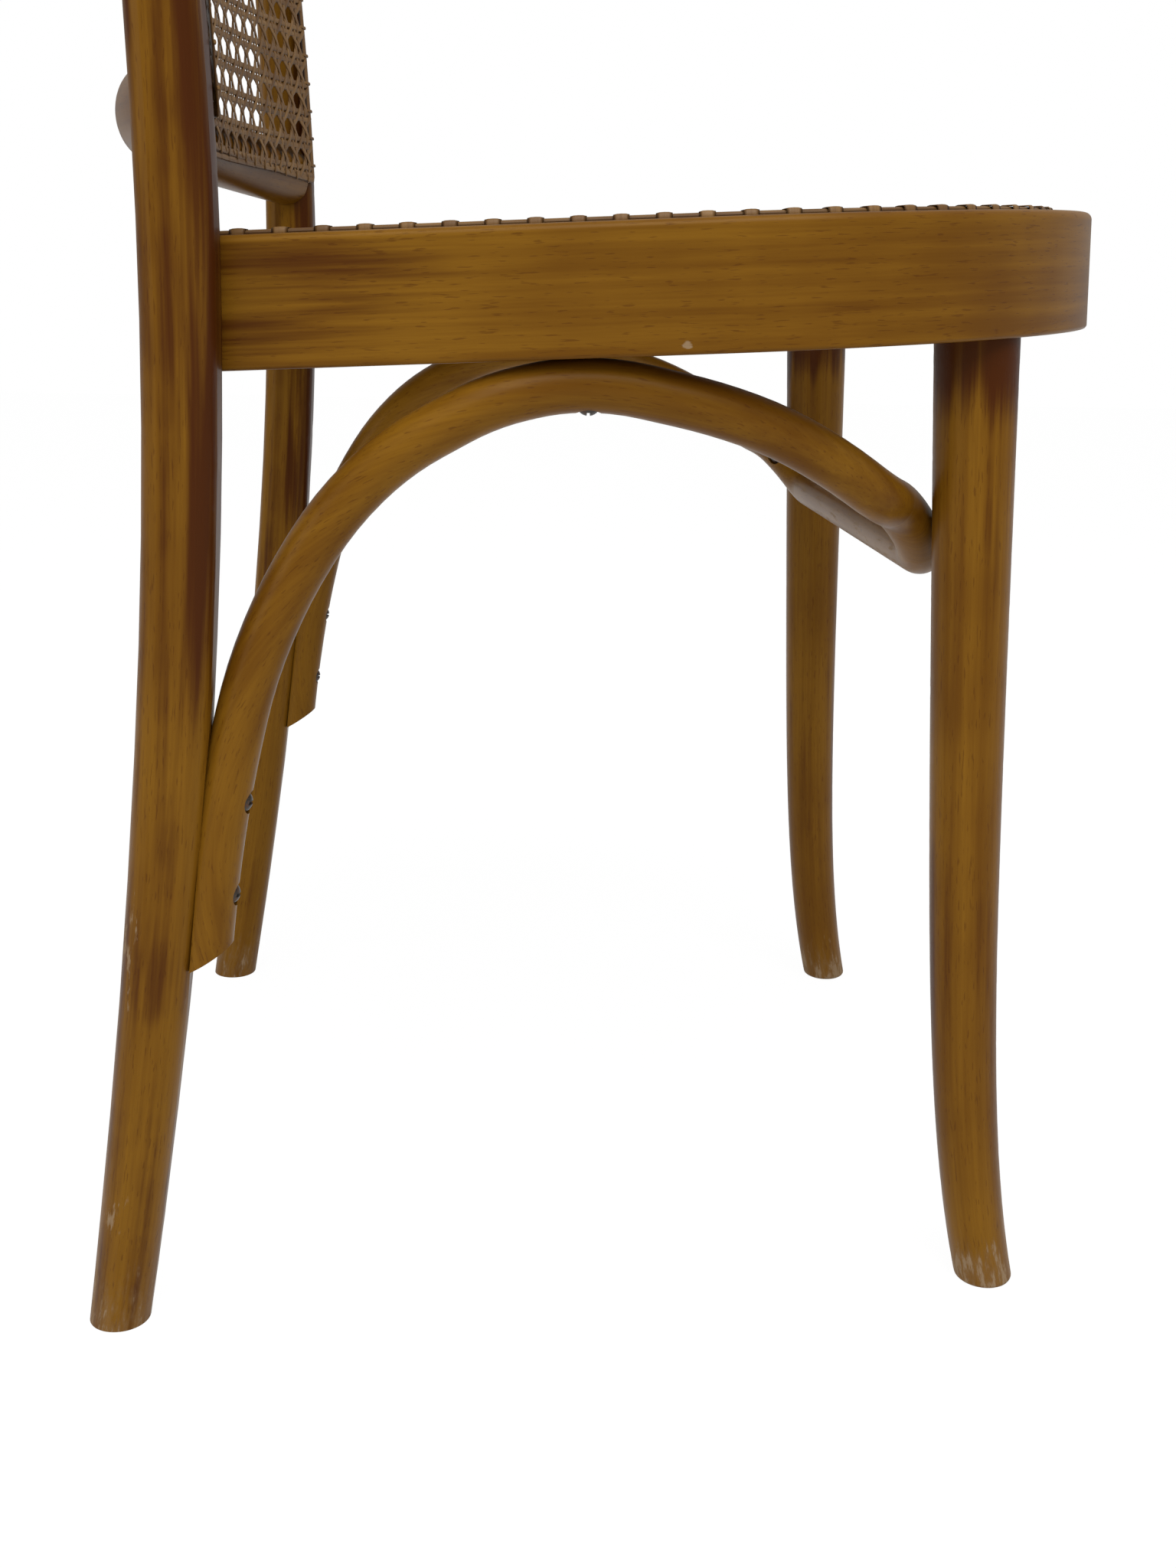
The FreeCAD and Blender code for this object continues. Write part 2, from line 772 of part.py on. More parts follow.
def back_mesh_gaps():
    """Round gaps of the back's net, in the XZ plane, that lie clear of the line of holes."""
    room = Part.Face(back_outline(back_line() + 0.5 * back_mesh_gap + mesh_margin))
    rings = []
    columns = int(post_top_x / back_mesh_pitch)
    rows = int((hoop_height - rail_centre_z) / back_mesh_pitch) + 1
    for i in range(-columns, columns + 1):
        for j in range(rows):
            p = V(i * back_mesh_pitch, 0, rail_centre_z + (j + 0.5) * back_mesh_pitch)
            if room.isInside(p, 0.01, True):
                rings.append(Part.Wire([Part.Circle(p, V(0, 1, 0), 0.5 * back_mesh_gap).toShape()]))
    return rings


def make_back_cane():
    net = holed_face([back_outline(back_line() - cane_margin)] + back_mesh_gaps())
    return back_sheet(back_gap, cane_thickness).common(net.extrude(V(0, 2 * post_foot_y(), 0)))


def make_back_binder():
    strip = back_sheet(back_gap + cane_thickness + binder_gap, binder_thickness)
    outer = back_prism(back_line() - 0.5 * binder_width)
    return strip.common(outer).cut(back_prism(back_line() + 0.5 * binder_width))


def make_all():
    ring_blank = tilt_to_seat(make_ring_blank())
    hoop = make_back_hoop()
    holes = all_screw_holes()
    plain_hoop = hoop
    hoop = hoop.cut(ring_blank)
    for block in mirror_pair(behind_flat(ahead=True)):
        hoop = hoop.cut(block)
    hoop = hoop.cut(Part.makeCompound(mirror_pair(rail_tenon(socket_clearance))))
    hoop = hoop.cut(holes)
    ring = make_ring().cut(holes)
    left_leg = make_front_leg().cut(holes)
    right_leg = left_leg.mirror(V(0, 0, 0), V(1, 0, 0))
    nodes = {
        "back_hoop": hoop,
        "seat_ring": ring,
        "front_leg_left": left_leg,
        "front_leg_right": right_leg,
        "brace_hoop": make_brace().cut(holes),
        "lower_back_rail": make_rail(plain_hoop),
        "seat_cane": make_seat_cane(),
        "seat_cane_binder": make_seat_binder(),
        "back_cane": make_back_cane(),
        "back_cane_binder": make_back_binder(),
    }
    for name, places in screw_places().items():
        nodes[name] = Part.makeCompound([s for place in places for s in mirror_pair(screw(*place))])
    pairs = [mirror_pair(screw(*place)) for place in seat_screw_places()]
    nodes["seat_screws"] = Part.makeCompound([s for pair in pairs for s in pair])
    return nodes


def centred(nodes):
    """Move the chair so that the middle of its box stands over the origin."""
    box = FreeCAD.BoundBox()
    for shape in nodes.values():
        box.add(shape.BoundBox)
    shift = V(0, -0.5 * (box.YMin + box.YMax), 0)
    for shape in nodes.values():
        shape.translate(shift)
    print("shift to centre", round(shift.y, 2))
    return nodes


def main():
    os.makedirs("parts", exist_ok=True)
    for name, shape in centred(make_all()).items():
        shape.exportStep("parts/" + name + ".step")
        print(name, shape.isValid(), len(shape.Solids), round(shape.Volume / 1000, 1), "cm3")


main()
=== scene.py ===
import math

import bpy
import numpy as np
from bpy.props import FloatProperty, FloatVectorProperty, PointerProperty
from mathutils import Matrix, Vector


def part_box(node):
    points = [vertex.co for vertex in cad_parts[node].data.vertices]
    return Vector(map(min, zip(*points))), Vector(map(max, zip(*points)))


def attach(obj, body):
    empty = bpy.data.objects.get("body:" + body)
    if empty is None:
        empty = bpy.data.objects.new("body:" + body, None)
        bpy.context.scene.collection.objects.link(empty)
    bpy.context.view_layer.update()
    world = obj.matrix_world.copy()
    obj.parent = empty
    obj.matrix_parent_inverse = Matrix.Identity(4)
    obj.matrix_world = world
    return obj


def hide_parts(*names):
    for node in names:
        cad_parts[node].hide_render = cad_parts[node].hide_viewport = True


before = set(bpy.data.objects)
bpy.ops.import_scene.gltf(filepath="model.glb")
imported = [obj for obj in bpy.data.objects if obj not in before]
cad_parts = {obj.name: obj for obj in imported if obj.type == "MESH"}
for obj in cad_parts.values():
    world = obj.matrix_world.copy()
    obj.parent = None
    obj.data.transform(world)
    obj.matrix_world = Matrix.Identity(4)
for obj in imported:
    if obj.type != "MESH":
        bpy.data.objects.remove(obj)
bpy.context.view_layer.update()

bl_info = {
    "name": "Bentwood Caned Chair",
    "version": (1, 0, 0),
    "blender": (4, 5, 0),
    "location": "View3D > Sidebar > Chair",
    "description": "Dresses a bentwood chair frame with varnished beech, woven cane and worn screws",
    "category": "Object",
}

RING_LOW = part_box("seat_ring")[0]
BODY = "root"

# Lengths in metres; the chair's front faces -Y
MM = 0.001
SEAT_HEIGHT = 460 * MM
SEAT_DROP = 0.0538
SEAT_TILT = math.atan(SEAT_DROP)
RING_HEIGHT = 47 * MM
RING_BOTTOM_ROUND = 1.5 * MM
RING_FRONT_Y = RING_LOW.y + (RING_HEIGHT - RING_BOTTOM_ROUND) * math.sin(SEAT_TILT)
RING_HALF_WIDTH = 211 * MM
RING_CORNER_RADIUS = 172 * MM
RING_FRONT_TURN = math.radians(20)
RING_REAR_HALF_WIDTH = 193 * MM
RING_REAR_RADIUS = 30 * MM
RING_DEPTH = 399 * MM
RING_REAR_Y = RING_FRONT_Y + RING_DEPTH

HOOP_HEIGHT = 835 * MM
CREST_RADIUS = 78 * MM
CREST_BOW = 36.5 * MM
POST_WIDTH = 27 * MM
BOW_OVERLAP = 5.6 * MM
POST_FOOT_X = 189.7 * MM
POST_SEAT_X = 202 * MM
POST_TOP_X = 215 * MM
WAIST_HEIGHT = 470 * MM
WAIST_SETBACK = 379.9 * MM
WAIST_Y = RING_FRONT_Y + WAIST_SETBACK
FOOT_SPLAY = 48.3 * MM
SPLAY_CURL = 0.364
BACK_LEAN = 33 * MM
LEAN_POWER = 1.75
KNEE_HEIGHT = 225 * MM
POST_DEPTHS = (25.4 * MM, 28.5 * MM, 27.7 * MM, 22.5 * MM)
RAIL_HEIGHT = 489.53 * MM
RAIL_ARCH = 7.2 * MM
RAIL_LINE_DROP = 2 * MM
BACK_LINE = 9 * MM
BACK_GAP = 0.2 * MM
SEAT_LINE = 19 * MM

# A level pair of the back's weave lies at BACK_ROW_Z, and the weave is laid out from a row further up
BACK_ROW_Z = 499.5 * MM
BACK_ROWS_UP = 11
WEAVE_REACH = 0.21
LOOP_OVERHANG = 0.5 * MM

# The grain's coordinates: how the splay of the post is followed, and how far the two sides lie apart
GRAIN_SPLAY_POWER = 1.85
SIDE_SHIFT = 2.0
RAIL_HALF_BOW = 195.4 * MM
ARCH_CENTRE_Y = 0.02
ARCH_CENTRE_Z = 0.20
ARCH_RADIUS = 0.19

LEG_TOP_X = 156.6 * MM
LEG_TOP_Z = 408.6 * MM
LEG_FOOT_X = 175 * MM
LEG_RAKE = 18.8 * MM
LEG_KICK = 13.2 * MM

# The photograph's frame and the camera fitted to it
FRAME_HEIGHT_PX = 2048
FOCAL_PX = 2196.95
CAMERA_PLACE = (-827.6 * MM, RING_FRONT_Y + 281.4 * MM, 424.3 * MM)
CAMERA_YAW = math.radians(-4.4)
CAMERA_PITCH = math.radians(16.4)
CAMERA_ROLL = math.radians(1.1)


# Plan of the seat

def ring_centres():
    """Centres of the front arc, front corner and rear corner, and the bearing of the straight side.

    The corner's centre is set so that the ring is RING_HALF_WIDTH wide, the front arc is tangent
    to the corner at RING_FRONT_TURN, and the side is the common tangent of front and rear corners.
    """
    corner_x = RING_HALF_WIDTH - RING_CORNER_RADIUS
    extra = corner_x / math.sin(RING_FRONT_TURN)
    front_r = RING_CORNER_RADIUS + extra
    front_y = RING_FRONT_Y + front_r
    corner_y = front_y - extra * math.cos(RING_FRONT_TURN)
    rear_x = RING_REAR_HALF_WIDTH - RING_REAR_RADIUS
    rear_y = RING_REAR_Y - RING_REAR_RADIUS
    span = math.hypot(rear_x - corner_x, rear_y - corner_y)
    side = math.atan2(rear_y - corner_y, rear_x - corner_x)
    side -= math.acos((RING_CORNER_RADIUS - RING_REAR_RADIUS) / span)
    return front_r, front_y, (corner_x, corner_y), (rear_x, rear_y), side


def ring_inset(x, y):
    """Distance inside the ring's outer face, for arrays of points: the least one to its arcs and lines."""
    front_r, front_y, corner, rear, side = ring_centres()
    x = np.abs(x)
    bearing = np.arctan2(y - corner[1], x - corner[0])
    near = np.minimum(front_r - np.hypot(x, y - front_y), RING_REAR_Y - y)
    along = (x - corner[0]) * math.cos(side) + (y - corner[1]) * math.sin(side)
    near = np.minimum(near, RING_CORNER_RADIUS - along)
    in_corner = (bearing < side) & (bearing > RING_FRONT_TURN - 0.5 * math.pi)
    corner_gap = RING_CORNER_RADIUS - np.hypot(x - corner[0], y - corner[1])
    near = np.where(in_corner, np.minimum(near, corner_gap), near)
    rear_gap = RING_REAR_RADIUS - np.hypot(x - rear[0], y - rear[1])
    in_rear = (x > rear[0]) & (y > rear[1])
    return np.where(in_rear, np.minimum(near, rear_gap), near)


def arc_points(centre, radius, start, end, count):
    """Points on an arc: centre + radius * (cos, sin) of evenly spaced bearings."""
    a = np.linspace(start, end, count)
    return np.stack([centre[0] + radius * np.cos(a), centre[1] + radius * np.sin(a)], 1)


def ring_line(inset):
    """Closed outline of the ring at an inset, as points of its arcs in order."""
    front_r, front_y, corner, rear, side = ring_centres()
    south = -0.5 * math.pi
    half = np.concatenate([
        arc_points((0, front_y), front_r - inset, south, south + RING_FRONT_TURN, 12),
        arc_points(corner, RING_CORNER_RADIUS - inset, south + RING_FRONT_TURN, side, 40)[1:],
        arc_points(rear, RING_REAR_RADIUS - inset, side, 0.5 * math.pi, 12),
    ])
    return np.concatenate([half, (half * (-1, 1))[::-1]])


def even_steps(line, count, closed=True):
    """Points at equal steps of arc length along a polyline."""
    if closed:
        line = np.concatenate([line, line[:1]])
    run = np.concatenate([[0], np.cumsum(np.linalg.norm(np.diff(line, axis=0), axis=1))])
    s = np.linspace(0, run[-1], count, endpoint=not closed)
    return np.stack([np.interp(s, run, line[:, i]) for i in range(2)], 1), run[-1]


def on_seat(x, y, height):
    """Place of a plan point at a height square to the seat: the plan turned down by the seat's slope."""
    back = y - RING_FRONT_Y
    return np.stack([
        x + 0 * height,
        RING_FRONT_Y + back * math.cos(SEAT_TILT) + height * math.sin(SEAT_TILT),
        SEAT_HEIGHT - back * math.sin(SEAT_TILT) + height * math.cos(SEAT_TILT),
    ], -1)


# Front view of the back

def post_x(z):
    """Quadratic through the posts' places at the floor, the seat and the crest's corner."""
    seat_z = SEAT_HEIGHT - SEAT_DROP * (WAIST_Y - RING_FRONT_Y)
    top_z = HOOP_HEIGHT - CREST_RADIUS
    a = (z - seat_z) * (z - top_z) / (seat_z * top_z)
    b = z * (z - top_z) / (seat_z * (seat_z - top_z))
    c = z * (z - seat_z) / (top_z * (top_z - seat_z))
    return POST_FOOT_X * a + POST_SEAT_X * b + POST_TOP_X * c


def post_y(z):
    """Splay below the waist and lean above it, both as powers of the distance from the waist."""
    u = np.maximum((WAIST_HEIGHT - z) / WAIST_HEIGHT, 0)
    v = np.maximum((z - WAIST_HEIGHT) / (HOOP_HEIGHT - WAIST_HEIGHT), 0)
    splay = FOOT_SPLAY * ((1 + SPLAY_CURL) * u ** 2 - SPLAY_CURL * u ** 3)
    return WAIST_Y + splay + BACK_LEAN * v ** LEAN_POWER


def post_depth(z):
    marks = (0, KNEE_HEIGHT, WAIST_HEIGHT, HOOP_HEIGHT - 2 * CREST_RADIUS)
    return np.interp(z, marks, POST_DEPTHS)


def sheet_y(x, z):
    """Middle surface of the back: the posts' own line set back by a parabola across the back."""
    half = post_x(np.minimum(z, HOOP_HEIGHT - CREST_RADIUS)) - 0.5 * POST_WIDTH + BOW_OVERLAP
    return post_y(z) + CREST_BOW * (1 - (x / half) ** 2)


def on_back(x, z, height):
    """Place of a front-view point at a height straight in front of the back's face."""
    y = sheet_y(x, z) - 0.5 * post_depth(z) - BACK_GAP - height
    return np.stack([x + 0 * y, y, z + 0 * y], -1)


def rail_line_z(x):
    return RAIL_HEIGHT - RAIL_LINE_DROP - RAIL_ARCH * (x / POST_SEAT_X) ** 2


def back_inset(x, z):
    """Distance inside the middle line of the posts and crest; the rail's line of holes lies at BACK_LINE."""
    radius = CREST_RADIUS - 0.5 * POST_WIDTH
    corner_z = HOOP_HEIGHT - CREST_RADIUS
    corner_x = POST_TOP_X - radius
    x = np.abs(x)
    near = np.minimum(post_x(np.minimum(z, corner_z)) - x, HOOP_HEIGHT - 0.5 * POST_WIDTH - z)
    near = np.minimum(near, z - rail_line_z(x) + BACK_LINE)
    gap = radius - np.hypot(x - corner_x, z - corner_z)
    return np.where((x > corner_x) & (z > corner_z), np.minimum(near, gap), near)


def back_line(inset):
    """Closed outline in front view at an inset: rail, post, corner and crest, and their mirror image."""
    radius = CREST_RADIUS - 0.5 * POST_WIDTH
    corner_z = HOOP_HEIGHT - CREST_RADIUS
    low_x = post_x(RAIL_HEIGHT) - inset
    rail_x = np.linspace(0, low_x, 24)
    rail = np.stack([rail_x, rail_line_z(rail_x) + inset - BACK_LINE], 1)
    z = np.linspace(rail[-1, 1], corner_z, 24)[1:]
    post = np.stack([post_x(z) - inset, z], 1)
    corner = arc_points((POST_TOP_X - radius, corner_z), radius - inset, 0, 0.5 * math.pi, 14)[1:]
    half = np.concatenate([rail, post, corner])
    return np.concatenate([half, (half * (-1, 1))[:0:-1]])


# Meshes

def grid_faces(rows, columns, wrap_rows=False):
    """Quads between neighbouring rows of a grid of vertices whose columns close on themselves."""
    r = np.arange(rows if wrap_rows else rows - 1)[:, None]
    c = np.arange(columns)[None, :]
    n = (r + 1) % rows
    d = (c + 1) % columns
    return np.stack([r * columns + c, r * columns + d, n * columns + d, n * columns + c], -1).reshape(-1, 4)


def signed_volume(points, quads):
    """Six times the volume enclosed by quads, from the triple products of their triangles."""
    a, b, c, d = (points[quads[:, i]] for i in range(4))
    return float(np.einsum("ij,ij->", a, np.cross(b, c)) + np.einsum("ij,ij->", a, np.cross(c, d)))


def mesh_piece(name, grids, closed, coordinate, node, material):
    """One piece from a stack of grids (strand, row, column, xyz), each a closed tube or one with two caps.

    coordinate is stored per vertex for the material: across, along and the strand's own number.
    """
    strands, rows, columns = grids.shape[:3]
    quads = grid_faces(rows, columns, closed)
    if signed_volume(grids[0].reshape(-1, 3), quads) < 0:
        quads = quads[:, ::-1]
        first_cap = np.arange(columns)
    else:
        first_cap = np.arange(columns)[::-1]
    last_cap = first_cap[::-1] + (rows - 1) * columns
    start = (np.arange(strands) * rows * columns)[:, None]
    loops = [(start[:, :, None] + quads[None]).reshape(-1)]
    sizes = [np.full(strands * len(quads), 4)]
    if not closed:
        caps = np.stack([first_cap, last_cap])
        loops.append((start[:, :, None] + caps[None]).reshape(-1))
        sizes.append(np.full(2 * strands, columns))
    loops = np.concatenate(loops)
    sizes = np.concatenate(sizes)
    starts = np.concatenate([[0], np.cumsum(sizes)[:-1]])
    mesh = bpy.data.meshes.new(name)
    mesh.vertices.add(strands * rows * columns)
    mesh.vertices.foreach_set("co", grids.astype(np.float32).ravel())
    mesh.loops.add(len(loops))
    mesh.loops.foreach_set("vertex_index", loops.astype(np.int32))
    mesh.polygons.add(len(sizes))
    mesh.polygons.foreach_set("loop_start", starts.astype(np.int32))
    mesh.update(calc_edges=True)
    mesh.validate()
    mesh.shade_smooth()
    store = mesh.attributes.new("strand", "FLOAT_VECTOR", "POINT")
    store.data.foreach_set("vector", coordinate.astype(np.float32).ravel())
    mesh.materials.append(material)
    piece = bpy.data.objects.new(name, mesh)
    bpy.context.scene.collection.objects.link(piece)
    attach(piece, BODY)
    if node:
        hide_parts(node)
    return piece


RIBBON = np.array([(-0.5, 0.35), (-0.28, 0.88), (0, 1), (0.28, 0.88), (0.5, 0.35), (0.34, 0), (-0.34, 0)])


def woven_strands(place, inset, lowest, lines, heading, reach, height, count, sizes):
    """Flat strands along parallel lines, cut where they leave the line of holes.

    lines holds a point on each strand's middle line and heading their common direction. Each strand
    keeps the stretch where inset(point) is at least lowest. Its ribbon profile is carried along it
    at height(along) over the surface given by place.
    """
    heading = np.array(heading, float)
    heading /= np.linalg.norm(heading)
    side = np.array([-heading[1], heading[0]])
    t = np.linspace(-reach, reach, 1200)
    probe = lines[:, None] + t[None, :, None] * heading
    inside = inset(probe[..., 0], probe[..., 1]) >= lowest
    first = t[inside.argmax(1)]
    last = t[len(t) - 1 - inside[:, ::-1].argmax(1)]
    keep = inside.any(1) & (last - first > 2 * sizes.strand_width)
    lines, first, last = lines[keep], first[keep], last[keep]
    share = np.linspace(0, 1, count)[None]
    t = first[:, None] + (last - first)[:, None] * share
    middle = lines[:, None] + t[..., None] * heading
    lift = height(middle[..., 0], middle[..., 1], keep.nonzero()[0])
    across = RIBBON[:, 0] * sizes.strand_width
    flat = middle[:, :, None] + across[None, None, :, None] * side
    up = lift[..., None] + RIBBON[:, 1] * sizes.strand_thickness
    grids = place(flat[..., 0], flat[..., 1], up)
    number = np.arange(len(lines))[:, None, None] + 0 * up
    coordinate = np.stack([0 * up + RIBBON[:, 0] + 0.5, 0 * up + t[..., None], number], -1)
    return grids, coordinate


def knot_wave(t, pitch, half):
    """One sine turn at each crossing of two pairs, flat between: sin(pi t / 2 half) in a cosine window."""
    t = (t + 0.5 * pitch) % pitch - 0.5 * pitch
    window = np.where(np.abs(t) < 2 * half, np.cos(0.25 * math.pi * t / half) ** 2, 0)
    return np.sin(0.5 * math.pi * t / half) * window * 1.3


def weave(name, place, inset, lowest, centre, reach, node, material, base, sizes):
    """Six-way cane: upright pairs, level pairs and two sets of diagonals midway between the crossings."""
    p = sizes.pitch
    half = 0.5 * sizes.pair_spacing
    count = int(2 * reach / p) + 1
    steps = int(8 * 2 * reach / p)
    numbers = np.arange(-count // 2, count // 2 + 1)
    pieces = []

    def family(label, lines, heading, height, number_of_steps):
        grids, coordinate = woven_strands(place, inset, lowest, lines, heading, 1.5 * reach, height,
                                          number_of_steps, sizes)
        stands_for = node if not pieces else None
        pieces.append(mesh_piece(f"{name}_{label}", grids, False, coordinate, stands_for,
                                 material))

    offsets = np.concatenate([numbers * p - half, numbers * p + half])
    signs = np.concatenate([-np.ones(len(numbers)), np.ones(len(numbers))])

    def upright_height(u, v, kept):
        return base + sizes.weave_rise * signs[kept][:, None] * knot_wave(v - centre[1], p, half)

    def level_height(u, v, kept):
        return base - sizes.weave_rise * signs[kept][:, None] * knot_wave(u - centre[0], p, half)

    upright = np.stack([centre[0] + offsets, np.full(len(offsets), centre[1])], 1)
    level = np.stack([np.full(len(offsets), centre[0]), centre[1] + offsets], 1)
    family("uprights", upright, (0, 1), upright_height, steps)
    family("levels", level, (1, 0), level_height, steps)
    wide = np.arange(-2 * count, 2 * count + 1) + 0.5
    slanting = np.stack([centre[0] + wide * p, np.full(len(wide), centre[1])], 1)

    def rising_height(u, v, kept):
        return base - sizes.diagonal_rise * np.cos(2 * math.pi * (u - centre[0]) / p)

    def falling_height(u, v, kept):
        return base + sizes.diagonal_rise * np.cos(2 * math.pi * (u - centre[0]) / p)

    family("rising_diagonals", slanting, (1, 1), rising_height, steps // 2)
    family("falling_diagonals", slanting, (1, -1), falling_height, steps // 2)
    return pieces


def binder(name, place, line, node, material, base, sizes):
    """Strip laid over the line of holes: a crowned ribbon profile carried round the closed line."""
    points, length = even_steps(line, int(len(line) * 6))
    ahead = np.roll(points, -1, 0) - np.roll(points, 1, 0)
    ahead /= np.linalg.norm(ahead, axis=1)[:, None]
    side = np.stack([-ahead[:, 1], ahead[:, 0]], 1)
    across = RIBBON[:, 0] * sizes.binder_width
    flat = points[:, None] + across[None, :, None] * side[:, None]
    up = base + RIBBON[:, 1] * sizes.binder_thickness + 0 * flat[..., 0]
    grids = place(flat[..., 0], flat[..., 1], up)[None]
    run = np.linspace(0, length, len(points))[:, None] + 0 * up
    coordinate = np.stack([0 * up + RIBBON[:, 0] + 0.5, run, 0 * up + 3], -1)
    return mesh_piece(name, grids, True, coordinate, node, material)


def lacing(name, place, line, material, base, sizes):
    """Loops over the binder, one at each hole: an arched ribbon square to the line of holes."""
    length = even_steps(line, 10)[1]
    count = 2 * round(0.5 * length / sizes.pitch)
    points = even_steps(line, count)[0]
    finer = even_steps(line, 40 * count)[0]
    ahead = finer[1::40][:count] - points
    ahead /= np.linalg.norm(ahead, axis=1)[:, None]
    side = np.stack([-ahead[:, 1], ahead[:, 0]], 1)
    turn = np.linspace(0, math.pi, 9)
    reach = (0.5 * sizes.binder_width + LOOP_OVERHANG) * np.cos(turn)
    rise = base + sizes.binder_thickness * np.minimum(1.05, 1.6 * np.sin(turn) ** 0.7)
    middle = points[:, None] + reach[None, :, None] * side[:, None]
    across = RIBBON[:, 0] * sizes.loop_width
    flat = middle[:, :, None] + across[None, None, :, None] * ahead[:, None, None]
    up = rise[None, :, None] + RIBBON[:, 1] * sizes.strand_thickness + 0 * flat[..., 0]
    grids = place(flat[..., 0], flat[..., 1], up)
    number = np.arange(count)[:, None, None] + 0 * up
    along = reach[None, :, None] + 0 * up
    coordinate = np.stack([0 * up + RIBBON[:, 0] + 0.5, along, number], -1)
    return mesh_piece(name, grids, False, coordinate, None, material)


# Shader graphs

class Graph:
    """Short calls for the nodes of one tree; every call returns an output socket."""

    def __init__(self, tree):
        self.tree = tree
        self.nodes = tree.nodes
        self.nodes.clear()

    def add(self, kind, **settings):
        node = self.nodes.new(kind)
        for key, value in settings.items():
            setattr(node, key, value)
        return node

    def feed(self, socket, value):
        if isinstance(value, bpy.types.NodeSocket):
            self.tree.links.new(value, socket)
        elif value is not None:
            socket.default_value = value

    def math(self, operation, *values):
        node = self.add("ShaderNodeMath", operation=operation)
        for socket, value in zip(node.inputs, values):
            self.feed(socket, value)
        return node.outputs[0]

    def split(self, vector):
        node = self.add("ShaderNodeSeparateXYZ")
        self.feed(node.inputs[0], vector)
        return node.outputs

    def join(self, x, y, z):
        node = self.add("ShaderNodeCombineXYZ")
        for socket, value in zip(node.inputs, (x, y, z)):
            self.feed(socket, value)
        return node.outputs[0]

    def scaled(self, vector, factors):
        node = self.add("ShaderNodeVectorMath", operation="MULTIPLY")
        self.feed(node.inputs[0], vector)
        node.inputs[1].default_value = factors
        return node.outputs[0]

    def noise(self, vector, scale, detail=2.0, roughness=0.5, distortion=0.0):
        node = self.add("ShaderNodeTexNoise")
        self.feed(node.inputs["Vector"], vector)
        node.inputs["Scale"].default_value = scale
        node.inputs["Detail"].default_value = detail
        node.inputs["Roughness"].default_value = roughness
        node.inputs["Distortion"].default_value = distortion
        return node.outputs["Fac"]

    def ramp(self, value, low, high, out_low=0.0, out_high=1.0, smooth=True):
        node = self.add("ShaderNodeMapRange", interpolation_type="SMOOTHSTEP" if smooth else "LINEAR")
        for name, given in (("Value", value), ("From Min", low), ("From Max", high),
                            ("To Min", out_low), ("To Max", out_high)):
            self.feed(node.inputs[name], given)
        return node.outputs[0]

    def mix(self, share, first, second, blend="MIX"):
        node = self.add("ShaderNodeMix", data_type="RGBA", blend_type=blend)
        self.feed(node.inputs[0], share)
        for socket, value in ((node.inputs[6], first), (node.inputs[7], second)):
            if not isinstance(value, bpy.types.NodeSocket):
                value = (*value[:3], 1)
            self.feed(socket, value)
        return node.outputs[2]

    def group(self, tree, **values):
        node = self.add("ShaderNodeGroup", node_tree=tree)
        for key, value in values.items():
            if not isinstance(value, (bpy.types.NodeSocket, float, int)):
                value = (*value[:3], 1)
            self.feed(node.inputs[key.replace("_", " ")], value)
        return node.outputs

    def attribute(self, name):
        return self.add("ShaderNodeAttribute", attribute_name=name).outputs["Vector"]

    def place(self):
        return self.add("ShaderNodeTexCoord").outputs["Object"]


def new_group(name, inputs, outputs):
    """Empty node group with named sockets; each is a name, a kind and, for inputs, a default."""
    tree = bpy.data.node_groups.new(name, "ShaderNodeTree")
    kinds = {"value": "NodeSocketFloat", "colour": "NodeSocketColor", "vector": "NodeSocketVector"}
    for label, kind, *default in inputs:
        socket = tree.interface.new_socket(label, in_out="INPUT", socket_type=kinds[kind])
        if default:
            socket.default_value = default[0]
    for label, kind in outputs:
        tree.interface.new_socket(label, in_out="OUTPUT", socket_type=kinds[kind])
    graph = Graph(tree)
    source = graph.add("NodeGroupInput").outputs
    sink = graph.add("NodeGroupOutput").inputs
    return tree, graph, source, sink


